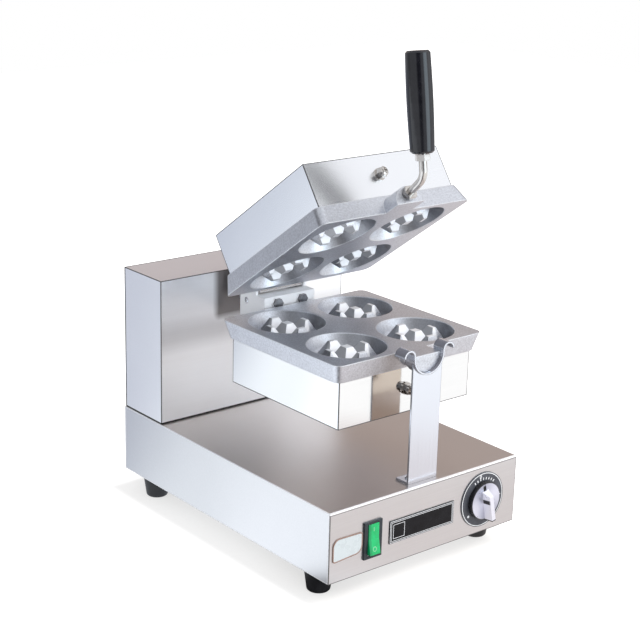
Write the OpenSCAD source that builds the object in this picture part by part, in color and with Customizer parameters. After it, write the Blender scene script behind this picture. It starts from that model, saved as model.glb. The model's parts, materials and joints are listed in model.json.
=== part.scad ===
// Four-cavity waffle maker on a sheet-metal base, with a hinged lid that stands part open.
// Every y below is counted from the base's front face, and every height from the floor.

/* [Base] */
// Width of the base box
base_w = 250; // [230:1:280]
// Height of the base box
base_h = 73; // [68:1:90]
// Thickness of the outer sheet metal
sheet_t = 1.2; // [0.8:0.1:2]
// Width of the folded lips along the base's lower edges
lip_w = 12; // [8:1:16]
// Thickness of the bottom cover
cover_t = 1; // [0.8:0.1:2]

/* [Feet] */
// Height of a foot
foot_h = 24; // [18:1:30]
// Foot diameter where it meets the base
foot_top_d = 30; // [26:1:34]
// Foot diameter at the floor
foot_bottom_d = 24; // [22:1:28]
// Distance from a side of the base to a foot's centre
foot_inset_x = 18; // [16:1:26]
// Distance from the front or back of the base to a foot's centre
foot_inset_y = 36; // [20:1:60]

/* [Column] */
// Depth of the column at the back
column_d = 70; // [60:1:90]
// Distance from the plates' back edge to the column's front
column_gap = 68.5; // [64:0.5:90]
// Height of the column above the base
column_h = 159; // [145:1:200]
// Set-back of each side of the column from the base's side
column_inset = 1.5; // [1:0.5:6]

/* [Cooking unit] */
// Height of the parting plane above the base's top
parting_rise = 131.3; // [126:0.1:140]
// Width of a plate at the parting plane
plate_w = 191; // [188:1:200]
// Depth of a plate at the parting plane, front to back
plate_d = 186.5; // [184:0.5:190]
// Thickness of a plate
plate_t = 19.4; // [18.5:0.1:24]
// How far a plate's sides draw in over its thickness
plate_draft = 4.8; // [2:0.1:6]
// Distance from the base's front face to the plates' front edge
plate_front = 30; // [28:1:34]
// Radius of a plate's corners
plate_corner_r = 8; // [5:1:12]
// Gap that stays between the plates when the lid is shut
plate_gap = 0.3; // [0.2:0.1:1]
// Width of a housing
housing_w = 172; // [165:1:175]
// Depth of a housing, front to back
housing_d = 170; // [166:1:172]
// Height of the lower housing under its plate
lower_housing_h = 48.8; // [44:0.1:56]
// Height of the upper housing over its plate
upper_housing_h = 45; // [42:0.1:50]
// Sheet thickness of a housing
housing_t = 0.8; // [0.6:0.1:1.2]

/* [Cavities] */
// Diameter of a cavity at the parting plane
cavity_d = 80; // [74:0.5:82]
// Diameter of a cavity at its floor
cavity_floor_d = 65; // [60:0.5:68]
// Depth of a cavity
cavity_depth = 15.5; // [13:0.5:16.5]
// Distance between cavities across the plate
cavity_pitch_x = 91; // [88:0.5:94]
// Distance between cavities along the plate
cavity_pitch_y = 94; // [90:0.5:96]
// Width of a peg's flat top
peg_w = 8.7; // [7:0.1:10]
// Width of a side peg's top, measured outwards
peg_side_w = 4; // [3:0.1:5]
// Distance from a cavity's centre to its side pegs
peg_reach = 22; // [20:0.5:23]
// How far the pegs stop short of the parting plane
peg_drop = 1.2; // [0.5:0.1:3]

/* [Hinge] */
// Distance of the hinge pin behind the plates' back edge
hinge_back = 34.1; // [33:0.1:36]
// Height of the hinge pin over the parting plane
hinge_rise = 23; // [22:0.1:24]
// Diameter of the hinge pin
pin_d = 8; // [6:0.5:9]
// Radial play of the pin in the lid's lugs
pin_play = 0.05; // [0.02:0.01:0.1]
// Angle at which the lid stands open
lid_open = 35.28; // [10:0.01:60]
// Width of the hinge bracket
bracket_w = 67.4; // [64:0.2:72]
// Sheet thickness of the hinge bracket
bracket_t = 3; // [2:0.5:3]
// Width of the lid's hinge lug
lug_w = 56; // [52:1:56]
// Sheet thickness of the lid's hinge lug
lug_t = 2.5; // [2:0.5:2.5]

/* [Front support] */
// Width of the support post
post_w = 38; // [34:1:40]
// Sheet thickness of the post
post_t = 2; // [1.5:0.5:3]
// Distance of the post behind the base's front face
post_front = 8.5; // [7:0.5:9]
// Radius of the plates' front bosses
boss_r = 17.6; // [15:0.1:17.6]
// How far the bosses stand in front of the plates
boss_len = 20; // [16:1:21]
// Play between the lower boss and its cradle
cradle_play = 0.3; // [0.2:0.1:0.6]
// Sheet thickness of the cradle
cradle_t = 2; // [1.5:0.5:2]
// Depth of the cradle, front to back
cradle_d = 14; // [10:1:16]

/* [Handle] */
// Diameter of the handle's rod
rod_d = 8; // [7:0.5:9]
// Angle at which the rod leaves the boss when the lid is shut
rod_angle = 8.7; // [4:0.1:14]
// Angle of the grip when the lid is shut
grip_angle = 62.5; // [50:0.5:75]
// Length of the grip
grip_len = 95; // [80:1:120]
// Largest diameter of the grip
grip_d = 25.5; // [22:0.5:30]

/* [Controls] */
// Diameter of the dial plate
dial_d = 59; // [54:1:62]
// Diameter of the knob's skirt
knob_d = 40.5; // [36:0.5:44]
// Height of the knob's skirt
knob_skirt_h = 5; // [4:0.5:7]
// Height of the knob with its grip bar
knob_h = 14; // [11:0.5:18]
// Distance of the dial's centre from the front's right end
dial_inset = 48; // [40:1:54]
// Width of the switch bezel
switch_w = 22.4; // [20:0.2:24]
// Height of the switch bezel
switch_h = 38.6; // [36:0.2:42]
// Distance of the switch's centre from the front's left end
switch_inset = 53.5; // [52:0.5:60]
// Space on both sides of the nameplate
nameplate_gap = 11; // [6:0.5:20]
// Height of the nameplate
nameplate_h = 24; // [18:1:28]

/* [Hidden] */

$fn = 48;
// Overrun of every cut past the face it opens
cut = 1;
// Play round fasteners in their holes
hole_play = 0.2;
// Play where one sheet lies beside another
sheet_play = 0.3;

// Heights and places that the pieces share
base_top = foot_h + base_h;
half_w = base_w / 2;
column_front = plate_front + plate_d + column_gap;
base_d = column_front + column_d;
column_top = base_top + column_h;
column_half = half_w - column_inset;
parting_z = base_top + parting_rise;
plate_back = plate_front + plate_d;
plate_mid_y = plate_front + plate_d / 2;
plate_low = parting_z - plate_t;
housing_front = plate_mid_y - housing_d / 2;
housing_back = plate_mid_y + housing_d / 2;
hinge_y = plate_back + hinge_back;
hinge_z = parting_z + hinge_rise;

// Fastener sizes: shank, head or nut across the flats, head height
m4 = [4, 7, 2.8];
m5 = [5, 8, 3.5];
m6 = [6, 10, 4];
washer_t = 1.2;

// Rear gland
gland_d = 16;
gland_flange_d = 24;
gland_out = 14;
gland_flange_t = 4;
cord_hole_d = 8;
gland_inset = 55;
gland_x = gland_inset - half_w;
gland_z = foot_h + base_h * 0.45;
gland_nut_t = 5;

// The knob stands furthest forward and the gland furthest back: the origin is half-way between them
dial_t = 1;
knob_gap = 0.4;
front_most = -(dial_t + knob_gap + knob_h);
back_most = base_d + gland_out;
origin_y = (front_most + back_most) / 2;

module framed() { translate([0, -origin_y, 0]) children(); }

// The lid's pieces are drawn shut and swung open about the hinge pin
module opened() {
    framed() translate([0, hinge_y, hinge_z]) rotate([-lid_open, 0, 0])
        translate([0, -hinge_y, -hinge_z]) children();
}

// The upper unit is the lower one mirrored in the parting plane
module over_parting() {
    translate([0, 0, parting_z + plate_gap]) mirror([0, 0, 1]) translate([0, 0, -parting_z]) children();
}

module block(lo, hi) { translate(lo) cube(hi - lo); }
module rod_x(d, x0, x1, y, z) { translate([x0, y, z]) rotate([0, 90, 0]) cylinder(h = x1 - x0, d = d); }
module rod_y(d, y0, y1, x, z) { translate([x, y0, z]) rotate([-90, 0, 0]) cylinder(h = y1 - y0, d = d); }
module rod_z(d, z0, z1, x, y) { translate([x, y, z0]) cylinder(h = z1 - z0, d = d); }
module both_sides() {
    children();
    mirror([1, 0, 0]) children();
}
// Profile in the YZ plane, given thickness along X from x0 to x1
module side_profile(x0, x1) {
    translate([x0, 0, 0]) rotate([90, 0, 90]) linear_extrude(height = x1 - x0) children();
}

// A hexagon bolt along -Y: its head's outer face is at y, its shank runs back
module hex_bolt(size, shank) {
    rotate([90, 0, 0]) cylinder(h = size[2], d = size[1] / cos(30), $fn = 6);
    rotate([-90, 0, 0]) cylinder(h = shank, d = size[0]);
}
// A domed screw along -Y with a cross recess
recess_w_share = 0.16;
recess_depth_share = 0.5;
module dome_screw(size, shank) {
    difference() {
        rotate([90, 0, 0]) rotate_extrude() intersection() {
            translate([0, size[2] - size[1] * 0.75]) circle(d = size[1] * 1.5);
            square([size[1] / 2, size[2]]);
        }
        for (turn = [0, 90]) rotate([0, turn, 0])
            block([-size[1] * 0.3, -size[2] - cut, -size[1] * recess_w_share / 2],
                [size[1] * 0.3, -size[2] * recess_depth_share, size[1] * recess_w_share / 2]);
    }
    rotate([-90, 0, 0]) cylinder(h = shank, d = size[0]);
}
module nut_y(size, thick, y, x, z) {
    translate([x, y, z]) rotate([-90, 0, 0]) difference() {
        cylinder(h = thick, d = size[1] / cos(30), $fn = 6);
        translate([0, 0, -cut]) cylinder(h = thick + 2 * cut, d = size[0] + hole_play);
    }
}

// Base box

// Places of the feet
foot_x = half_w - foot_inset_x;
foot_ys = [foot_inset_y, base_d - foot_inset_y];
// Hole for the leads from the base up into the column
lead_hole_d = 26;
lead_hole_inset = 53.5;
lead_hole_x = column_half - lead_hole_inset;
lead_hole_y = column_front + column_d / 2;
// Post screws through the base's top
post_flange = 18;
post_screw_x = post_w * 0.26;
post_screw_y = post_front + post_flange * 0.55;
// Screws that hold the bottom cover to the side lips
cover_screw_x = half_w - sheet_t - lip_w / 2;
cover_screw_ys = [base_d * 0.3, base_d * 0.7];

module base_shell() {
    color("silver") framed() difference() {
        union() {
            difference() {
                block([-half_w, sheet_t, foot_h], [half_w, base_d - sheet_t, base_top]);
                block([-half_w + sheet_t, 0, 0], [half_w - sheet_t, base_d, base_top - sheet_t]);
            }
            both_sides() block([half_w - sheet_t - lip_w, sheet_t, foot_h + cover_t],
                [half_w - sheet_t, base_d - sheet_t, foot_h + cover_t + sheet_t]);
        }
        rod_z(lead_hole_d, base_top - sheet_t - cut, base_top + cut, lead_hole_x, lead_hole_y);
        both_sides()
            rod_z(m4[0] + hole_play, base_top - sheet_t - cut, base_top + cut, post_screw_x, post_screw_y);
        both_sides() for (y = foot_ys)
            rod_z(m5[0] + hole_play, foot_h, foot_h + cover_t + sheet_t + cut, foot_x, y);
        both_sides() for (y = cover_screw_ys)
            rod_z(m4[0] + hole_play, foot_h, foot_h + cover_t + sheet_t + cut, cover_screw_x, y);
    }
}

// Openings of the front panel
switch_x = half_w - switch_inset;
dial_x = half_w - dial_inset;
bezel_lap_x = 2;
bezel_lap_z = 3;
switch_body_w = switch_w - 2 * bezel_lap_x;
switch_body_h = switch_h - 2 * bezel_lap_z;
switch_z = foot_h + base_h * 0.457;
dial_z = foot_h + base_h * 0.497;
shaft_d = 6;
bush_d = 10;
module panel(y0) {
    block([-half_w, y0, foot_h], [half_w, y0 + sheet_t, base_top]);
}
module front_panel() {
    lip_half = half_w - sheet_t - lip_w - sheet_play;
    color("gainsboro") framed() difference() {
        union() {
            panel(0);
            block([-lip_half, sheet_t, foot_h + cover_t], [lip_half, lip_w, foot_h + cover_t + sheet_t]);
        }
        block([-switch_x - switch_body_w / 2, -cut, switch_z - switch_body_h / 2],
            [-switch_x + switch_body_w / 2, sheet_t + cut, switch_z + switch_body_h / 2]);
        rod_y(bush_d + hole_play, -cut, sheet_t + cut, dial_x, dial_z);
    }
}

// Screws of the rear panel sit near its corners
panel_screw_x = half_w - lip_w;
panel_screw_zs = [foot_h + base_h * 0.2, foot_h + base_h * 0.78];
// Folded tabs of the rear panel that take the screws of the shell's sides
tab_w = 10;
module rear_panel() {
    lip_half = half_w - sheet_t - lip_w - sheet_play;
    color("silver") framed() difference() {
        union() {
            panel(base_d - sheet_t);
            block([-lip_half, base_d - lip_w, foot_h + cover_t],
                [lip_half, base_d - sheet_t, foot_h + cover_t + sheet_t]);
        }
        rod_y(gland_d + hole_play, base_d - sheet_t - cut, base_d + cut, gland_x, gland_z);
        both_sides() for (z = panel_screw_zs)
            rod_y(m4[0] + hole_play, base_d - sheet_t - cut, base_d + cut, panel_screw_x, z);
    }
}
module rear_panel_screws() {
    color("lightgray") framed() for (side = [-1, 1], z = panel_screw_zs)
        translate([side * panel_screw_x, base_d, z]) rotate([0, 0, 180]) dome_screw(m4, tab_w);
}

vent_w = 4;
vent_l = 60;
vent_n = 7;
vent_step = 12;
module bottom_cover() {
    color("darkgray") framed() difference() {
        block([-half_w + sheet_t + sheet_play, sheet_t + sheet_play, foot_h],
            [half_w - sheet_t - sheet_play, base_d - sheet_t - sheet_play, foot_h + cover_t]);
        for (i = [0:vent_n - 1]) translate([(i - (vent_n - 1) / 2) * vent_step, 0, 0])
            block([-vent_w / 2, (base_d - vent_l) / 2, foot_h - cut],
                [vent_w / 2, (base_d + vent_l) / 2, foot_h + cover_t + cut]);
        both_sides() for (y = foot_ys)
            rod_z(m5[0] + hole_play, foot_h - cut, foot_h + cover_t + cut, foot_x, y);
        both_sides() for (y = cover_screw_ys)
            rod_z(m4[0] + hole_play, foot_h - cut, foot_h + cover_t + cut, cover_screw_x, y);
    }
}

// A foot is turned: tapered, with a rounded lower edge and a recess for its screw
foot_round = 3;
foot_recess_d = 11;
foot_floor_t = 8;
module foot(side, y) {
    lean = (foot_top_d - foot_bottom_d) / 2 / foot_h;
    color([0.1, 0.1, 0.1]) framed() translate([side * foot_x, y, 0]) rotate_extrude() difference() {
        polygon(concat([[0, 0]],
            [for (a = [-90:18:0]) [foot_bottom_d / 2 - foot_round * (1 - cos(a)), foot_round * (1 + sin(a))]],
            [[foot_bottom_d / 2 + lean * foot_h, foot_h], [0, foot_h]]));
        translate([0, -cut]) square([foot_recess_d / 2, foot_h - foot_floor_t + cut]);
        square([m5[0] / 2 + hole_play / 2, foot_h + cut]);
    }
}
module foot_front_left() { foot(-1, foot_ys[0]); }
module foot_front_right() { foot(1, foot_ys[0]); }
module foot_back_left() { foot(-1, foot_ys[1]); }
module foot_back_right() { foot(1, foot_ys[1]); }

foot_screw_in = 10;
foot_screw_len = foot_floor_t + foot_screw_in;
cover_screw_len = 8;
module base_screws() {
    color("dimgray") framed() {
        for (side = [-1, 1], y = foot_ys)
            translate([side * foot_x, y, foot_h - foot_floor_t]) rotate([90, 0, 0])
                dome_screw(m5, foot_screw_len);
        for (side = [-1, 1], y = cover_screw_ys)
            translate([side * cover_screw_x, y, foot_h]) rotate([90, 0, 0])
                dome_screw(m4, cover_screw_len);
    }
}

// Column

cover_screw_zs = [base_top + column_h * 0.12, base_top + column_h * 0.88];
column_lip = 14;
// The hinge bracket's place and the arm that carries it
bracket_half = bracket_w / 2;
bracket_gap = 8;
deck_drop = 14.3;
bracket_h = 29;
bracket_deck_d = 17;
bracket_tail = 16.4;
bracket_front = plate_back + bracket_gap;
bracket_top = hinge_z - deck_drop;
bracket_low = bracket_top - bracket_h;
bracket_back = hinge_y + bracket_tail;
ear_r = 11;
arm_t = 12;
arm_neck = 22;
arm_shy = 4;
arm_top = bracket_top - bracket_t;
arm_low = arm_top - arm_t;
arm_wide_back = bracket_back - arm_shy;
// Bolts that hold the hinge arm against the column's front
arm_bolt_x = 13;
arm_bolt_z = arm_low + arm_t / 2;
stiffener_h = 44;
stiffener_w = 110;
stiffener_t = 3;
stiffener_flange = 18;
conduit_inset = 36;
conduit_x = housing_w / 2 - conduit_inset;
conduit_drop = 16;
conduit_z = plate_low - conduit_drop;
conduit_d = 10;
module column_shell() {
    color("silver") framed() difference() {
        union() {
            difference() {
                block([-column_half, column_front, base_top], [column_half, base_d - sheet_t, column_top]);
                block([-column_half + sheet_t, column_front + sheet_t, base_top - cut],
                    [column_half - sheet_t, base_d, column_top - sheet_t]);
            }
            both_sides() {
                block([column_half - sheet_t - column_lip, column_front + sheet_t, base_top],
                    [column_half - sheet_t, base_d - sheet_t, base_top + sheet_t]);
                block([column_half - sheet_t - column_lip, base_d - 2 * sheet_t, base_top + sheet_t],
                    [column_half - sheet_t, base_d - sheet_t, column_top - sheet_t]);
            }
        }
        both_sides() rod_y(m6[0] + hole_play, column_front - cut, column_front + sheet_t + cut,
            arm_bolt_x, arm_bolt_z);
        rod_y(conduit_d + hole_play, column_front - cut, column_front + sheet_t + cut, conduit_x, conduit_z);
        both_sides() for (z = cover_screw_zs)
            rod_y(m4[0] + hole_play, base_d - 3 * sheet_t, base_d, column_half - sheet_t - column_lip / 2, z);
    }
}
module column_rear_cover() {
    color("gainsboro") framed() difference() {
        block([-column_half, base_d - sheet_t, base_top], [column_half, base_d, column_top]);
        both_sides() for (z = cover_screw_zs)
            rod_y(m4[0] + hole_play, base_d - sheet_t - cut, base_d + cut,
                column_half - sheet_t - column_lip / 2, z);
    }
}
module column_cover_screws() {
    color("lightgray") framed() for (side = [-1, 1], z = cover_screw_zs)
        translate([side * (column_half - sheet_t - column_lip / 2), base_d, z]) rotate([0, 0, 180])
            dome_screw(m4, tab_w);
}
module column_stiffener() {
    front = column_front + sheet_t;
    color("darkgray") framed() difference() {
        block([-stiffener_w / 2, front, arm_bolt_z - stiffener_h / 2],
            [stiffener_w / 2, front + stiffener_flange, arm_bolt_z + stiffener_h / 2]);
        block([-stiffener_w / 2 - cut, front + stiffener_t, arm_bolt_z - stiffener_h / 2 + stiffener_t],
            [stiffener_w / 2 + cut, base_d, arm_bolt_z + stiffener_h / 2 - stiffener_t]);
        both_sides() rod_y(m6[0] + hole_play, front - cut, front + stiffener_t + cut, arm_bolt_x, arm_bolt_z);
    }
}

// Hinge arm and bracket

front_bolt_x = 16.5;
front_bolt_z = arm_low + arm_t * 0.62;
bolt_grip = 14;
side_screw_back = 5;
side_screw_y = hinge_y + side_screw_back;
side_screw_z = arm_low + arm_t / 2;
module hinge_arm() {
    half = bracket_half - bracket_t;
    color("gray") framed() difference() {
        union() {
            block([-half, bracket_front + bracket_t, arm_low], [half, arm_wide_back, arm_top]);
            block([-arm_neck, arm_wide_back, arm_low], [arm_neck, column_front, arm_top]);
        }
        both_sides() {
            rod_y(m6[0], bracket_front, bracket_front + bracket_t + bolt_grip + hole_play,
                front_bolt_x, front_bolt_z);
            rod_y(m6[0], column_front - bolt_grip - hole_play, column_front + cut, arm_bolt_x, arm_bolt_z);
            rod_x(m4[0], half - bolt_grip / 2 - hole_play, half + cut, side_screw_y, side_screw_z);
        }
    }
}
module arm_bolts() {
    face = column_front + sheet_t + stiffener_t;
    color("dimgray") framed() for (side = [-1, 1]) translate([side * arm_bolt_x, face, arm_bolt_z])
        rotate([0, 0, 180]) hex_bolt(m6, sheet_t + stiffener_t + bolt_grip);
}

// The bracket's cheek: a plate under the deck that rises into an ear round the pin
stop_d = 6;
stop_play = 0.1;
stop_rise = 5;
lug_end_r = 10.5;
stop_y = hinge_y + lug_end_r + stop_d / 2 + stop_play;
stop_z = hinge_z + stop_rise;
module cheek_outline() {
    difference() {
        union() {
            translate([bracket_front, bracket_low])
                square([bracket_back - bracket_front, bracket_top - bracket_low]);
            translate([hinge_y, hinge_z]) circle(r = ear_r);
            translate([hinge_y - ear_r, bracket_top - cut]) square([2 * ear_r, hinge_z - bracket_top + cut]);
            translate([hinge_y, bracket_top - cut])
                square([stop_y + stop_d - hinge_y, stop_z + stop_d - bracket_top + cut]);
        }
        translate([hinge_y, hinge_z]) circle(d = pin_d + 2 * pin_play);
        translate([stop_y, stop_z]) circle(d = stop_d + hole_play);
    }
}
module hinge_bracket() {
    color("whitesmoke") framed() difference() {
        union() {
            both_sides() side_profile(bracket_half - bracket_t, bracket_half) cheek_outline();
            block([-bracket_half, bracket_front, bracket_low],
                [bracket_half, bracket_front + bracket_t, bracket_top]);
            block([-bracket_half, bracket_front, bracket_top - bracket_t],
                [bracket_half, bracket_front + bracket_deck_d, bracket_top]);
        }
        both_sides() {
            rod_y(m6[0] + hole_play, bracket_front - cut, bracket_front + bracket_t + cut,
                front_bolt_x, front_bolt_z);
            rod_y(m5[0] + hole_play, bracket_front - cut, bracket_front + bracket_t + cut,
                lug_bolt_x, lug_bolt_z);
            rod_x(m4[0] + hole_play, bracket_half - bracket_t - cut, bracket_half + cut,
                side_screw_y, side_screw_z);
        }
    }
}
module hinge_bracket_bolts() {
    color("dimgray") framed() for (side = [-1, 1])
        translate([side * front_bolt_x, bracket_front, front_bolt_z]) hex_bolt(m6, bracket_t + bolt_grip);
}
module bracket_side_screws() {
    color("lightgray") framed() both_sides() translate([bracket_half, side_screw_y, side_screw_z])
        rotate([0, 0, 90]) dome_screw([m4[0], m4[1], m4[2] / 2], bracket_t + bolt_grip / 2);
}

// Pin, washers and nut: the disc springs hold the lid by friction
pin_head_t = 4;
pin_head_d = 13;
disc_t = 1;
disc_n = 4;
disc_d = 16;
disc_cone = 0.5;
pin_nut_t = 6.5;
pin_nut_af = 13;
pin_end = 3;
disc_stack = disc_n * (disc_t + disc_cone);
module hinge_pin() {
    color("lightgray") framed() {
        rod_x(pin_head_d, -bracket_half - pin_head_t, -bracket_half, hinge_y, hinge_z);
        rod_x(pin_d, -bracket_half, bracket_half + disc_stack + pin_nut_t + pin_end, hinge_y, hinge_z);
    }
}
module hinge_pin_nut() {
    color("lightgray") framed() translate([bracket_half + disc_stack, hinge_y, hinge_z]) rotate([0, 90, 0])
        difference() {
            cylinder(h = pin_nut_t, d = pin_nut_af / cos(30), $fn = 6);
            translate([0, 0, -cut]) cylinder(h = pin_nut_t + 2 * cut, d = pin_d + 2 * pin_play);
        }
}
// A cone washer's half section: thickness along X, flared one way or the other
module cone_washer(flip) {
    bore = pin_d / 2 + pin_play;
    rise = flip ? disc_cone : 0;
    fall = flip ? 0 : disc_cone;
    rotate_extrude()
        polygon([[bore, rise], [disc_d / 2, fall], [disc_d / 2, fall + disc_t], [bore, rise + disc_t]]);
}
module hinge_spring_washers() {
    color("gray") framed() for (i = [0:disc_n - 1])
        translate([bracket_half + i * (disc_t + disc_cone), hinge_y, hinge_z]) rotate([0, 90, 0])
            cone_washer(i % 2 == 0);
}
thrust_play = 0.15;
thrust_d = 18;
module hinge_thrust_washers() {
    color("darkgoldenrod") framed() both_sides() difference() {
        rod_x(thrust_d, lug_w / 2 + thrust_play, bracket_half - bracket_t, hinge_y, hinge_z);
        rod_x(pin_d + 2 * pin_play, 0, bracket_half, hinge_y, hinge_z);
    }
}
module lid_stop_pin() {
    color("gray") framed() rod_x(stop_d, -bracket_half, bracket_half, stop_y, stop_z);
}

// Front support: a strap post that stands on the base, and the bent cradle it carries

cradle_in = boss_r + cradle_play;
cradle_out = cradle_in + cradle_t;
cradle_ahead = 2.2;
cradle_front = post_front - cradle_ahead;
hump_in = 5.5;
hump_out = hump_in + cradle_t;
hump_x = cradle_out + hump_in;
hump_rise = 1.7;
hump_z = parting_z + hump_rise;
post_chamfer = 6;
module support_post() {
    color("silver") framed() difference() {
        union() {
            difference() {
                block([-post_w / 2, post_front, base_top], [post_w / 2, post_front + post_t, parting_z]);
                rod_y(2 * cradle_out, post_front - cut, post_front + post_t + cut, 0, parting_z);
                translate([post_w / 2, post_front - cut, base_top]) rotate([0, 45, 0])
                    cube([post_chamfer * sqrt(2), post_t + 2 * cut, post_chamfer * sqrt(2)], center = false);
            }
            block([-post_w / 2, post_front, base_top],
                [post_w / 2 - post_chamfer, post_front + post_flange, base_top + post_t]);
        }
        both_sides()
            rod_z(m4[0] + hole_play, base_top - cut, base_top + post_t + cut, post_screw_x, post_screw_y);
    }
}
post_screw_len = 8;
module post_screws() {
    color("lightgray") framed() both_sides() translate([post_screw_x, post_screw_y, base_top + post_t])
        rotate([-90, 0, 0]) dome_screw([m4[0], m4[1], m4[2] * 0.8], post_screw_len);
}
// Half a ring in the XZ plane, above or below its centre
module half_ring(r_in, r_out, x, z, y0, y1, upper) {
    difference() {
        rod_y(2 * r_out, y0, y1, x, z);
        rod_y(2 * r_in, y0 - cut, y1 + cut, x, z);
        block([x - r_out - cut, y0 - cut, upper ? z - r_out - cut : z],
            [x + r_out + cut, y1 + cut, upper ? z : z + r_out + cut]);
    }
}
module cradle() {
    back = cradle_front + cradle_d;
    color("silver") framed() {
        half_ring(cradle_in, cradle_out, 0, parting_z, cradle_front, back, false);
        both_sides() {
            block([cradle_in, cradle_front, parting_z], [cradle_out, back, hump_z]);
            half_ring(hump_in, hump_out, hump_x, hump_z, cradle_front, back, true);
        }
    }
}

// Cooking plates

// A drafted slab with rounded corners: wide at the parting plane, narrower at its back
slab_skin = 0.1;
module slab_outline(shrink, z) {
    w = plate_w / 2 - shrink - plate_corner_r;
    for (x = [-w, w], y = [plate_front + shrink + plate_corner_r, plate_back - shrink - plate_corner_r])
        translate([x, y, z]) cylinder(h = slab_skin, r = plate_corner_r, $fn = 32);
}
module plate_slab() {
    hull() {
        slab_outline(0, parting_z - slab_skin);
        slab_outline(plate_draft, plate_low);
    }
}
// A cavity is turned: a drafted wall, a rounded foot and a flat floor
cavity_fillet = 5;
module cavity() {
    r_top = cavity_d / 2;
    r_low = cavity_floor_d / 2;
    lean = (r_top - r_low) / cavity_depth;
    rotate_extrude($fn = 96) polygon(concat(
        [[0, cut], [r_top + lean * cut, cut]],
        [for (a = [0:15:90]) [r_low - cavity_fillet * (1 - cos(a)) + lean * cavity_fillet * (1 - sin(a)),
            -cavity_depth + cavity_fillet * (1 - sin(a))]],
        [[0, -cavity_depth]]));
}
// A peg is a four-sided frustum: two crossed wedges cut to what they share
peg_draft_share = 0.53;
module peg(wx, wy) {
    rise = cavity_depth - peg_drop + slab_skin;
    grow = rise * peg_draft_share;
    translate([0, 0, -cavity_depth - slab_skin]) intersection() {
        rotate([90, 0, 0]) linear_extrude(height = 2 * (wy + grow), center = true)
            polygon([[-wx / 2 - grow, 0], [wx / 2 + grow, 0], [wx / 2, rise], [-wx / 2, rise]]);
        rotate([90, 0, 90]) linear_extrude(height = 2 * (wx + grow), center = true)
            polygon([[-wy / 2 - grow, 0], [wy / 2 + grow, 0], [wy / 2, rise], [-wy / 2, rise]]);
    }
}
module at_cavities() {
    for (i = [-1, 1], j = [-1, 1])
        translate([i * cavity_pitch_x / 2, plate_mid_y + j * cavity_pitch_y / 2, parting_z]) children();
}
heater_d = 8;
heater_bend = 19;
stud_x = 2 * heater_bend;
stud_y = 24;
stud_d = 6;
stud_len = 22;
// The slab with its half-round boss, cavities and pegs, drawn as the lower plate
module plate_body() {
    difference() {
        union() {
            plate_slab();
            difference() {
                rod_y(2 * boss_r, plate_front - boss_len, plate_front + plate_draft, 0, parting_z);
                block([-boss_r - cut, 0, parting_z], [boss_r + cut, plate_back, parting_z + boss_r + cut]);
                block([-boss_r - cut, plate_front + plate_draft, 0], [boss_r + cut, plate_back, plate_low]);
            }
        }
        at_cavities() cavity();
    }
    at_cavities() {
        peg(peg_w, peg_w);
        for (side = [-1, 1]) {
            translate([side * peg_reach, 0, 0]) peg(peg_side_w, peg_w);
            translate([0, side * peg_reach, 0]) peg(peg_w, peg_side_w);
        }
    }
    for (i = [-1, 1], j = [-1, 1])
        rod_z(stud_d, plate_low - stud_len, plate_low + slab_skin, i * stud_x, plate_mid_y + j * stud_y);
}
// Rear lugs of the lower plate, bolted through the bracket's front wall
lug_bolt_x = 24;
lug_half = 7.5;
lug_h = 15;
lug_bolt_z = plate_low + lug_h / 2;
lug_top = plate_low + lug_h;
lug_bolt_len = 16;
module lower_plate() {
    color("darkgray") framed() difference() {
        union() {
            plate_body();
            both_sides() block([lug_bolt_x - lug_half, plate_back - 2 * plate_draft, plate_low],
                [lug_bolt_x + lug_half, bracket_front, lug_top]);
        }
        both_sides() rod_y(m5[0], bracket_front - lug_bolt_len + bracket_t - hole_play, bracket_front + cut,
            lug_bolt_x, lug_bolt_z);
    }
}
module plate_rear_bolts() {
    color("dimgray") framed() for (side = [-1, 1])
        translate([side * lug_bolt_x, bracket_front + bracket_t, lug_bolt_z]) rotate([0, 0, 180])
            hex_bolt(m5, lug_bolt_len);
}

// Heater: a tube bent into four legs that lie against the plate's back
heater_front_in = 40;
heater_back_in = 36;
heater_end_in = 12;
heater_front = housing_front + heater_front_in;
heater_back = housing_back - heater_back_in;
heater_end = housing_back - heater_end_in;
module bend_y(x, y, z, turn) {
    translate([x, y, z]) rotate([0, 0, turn]) rotate_extrude(angle = 180) translate([heater_bend, 0])
        circle(d = heater_d);
}
module heater_run(z) {
    for (i = [-1, 1]) {
        rod_y(heater_d, heater_front, heater_back, i * heater_bend, z);
        rod_y(heater_d, heater_front, heater_end, i * 3 * heater_bend, z);
        bend_y(i * 2 * heater_bend, heater_front, z, 180);
    }
    bend_y(0, heater_back, z, 0);
}
clamp_t = 3;
clamp_w = 140;
clamp_d = 130;
clamp_top = plate_low - heater_d;
tab_half = 13;
tab_drop = 26;
house_bolt_z = plate_low - lower_housing_h * 0.48;
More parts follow.
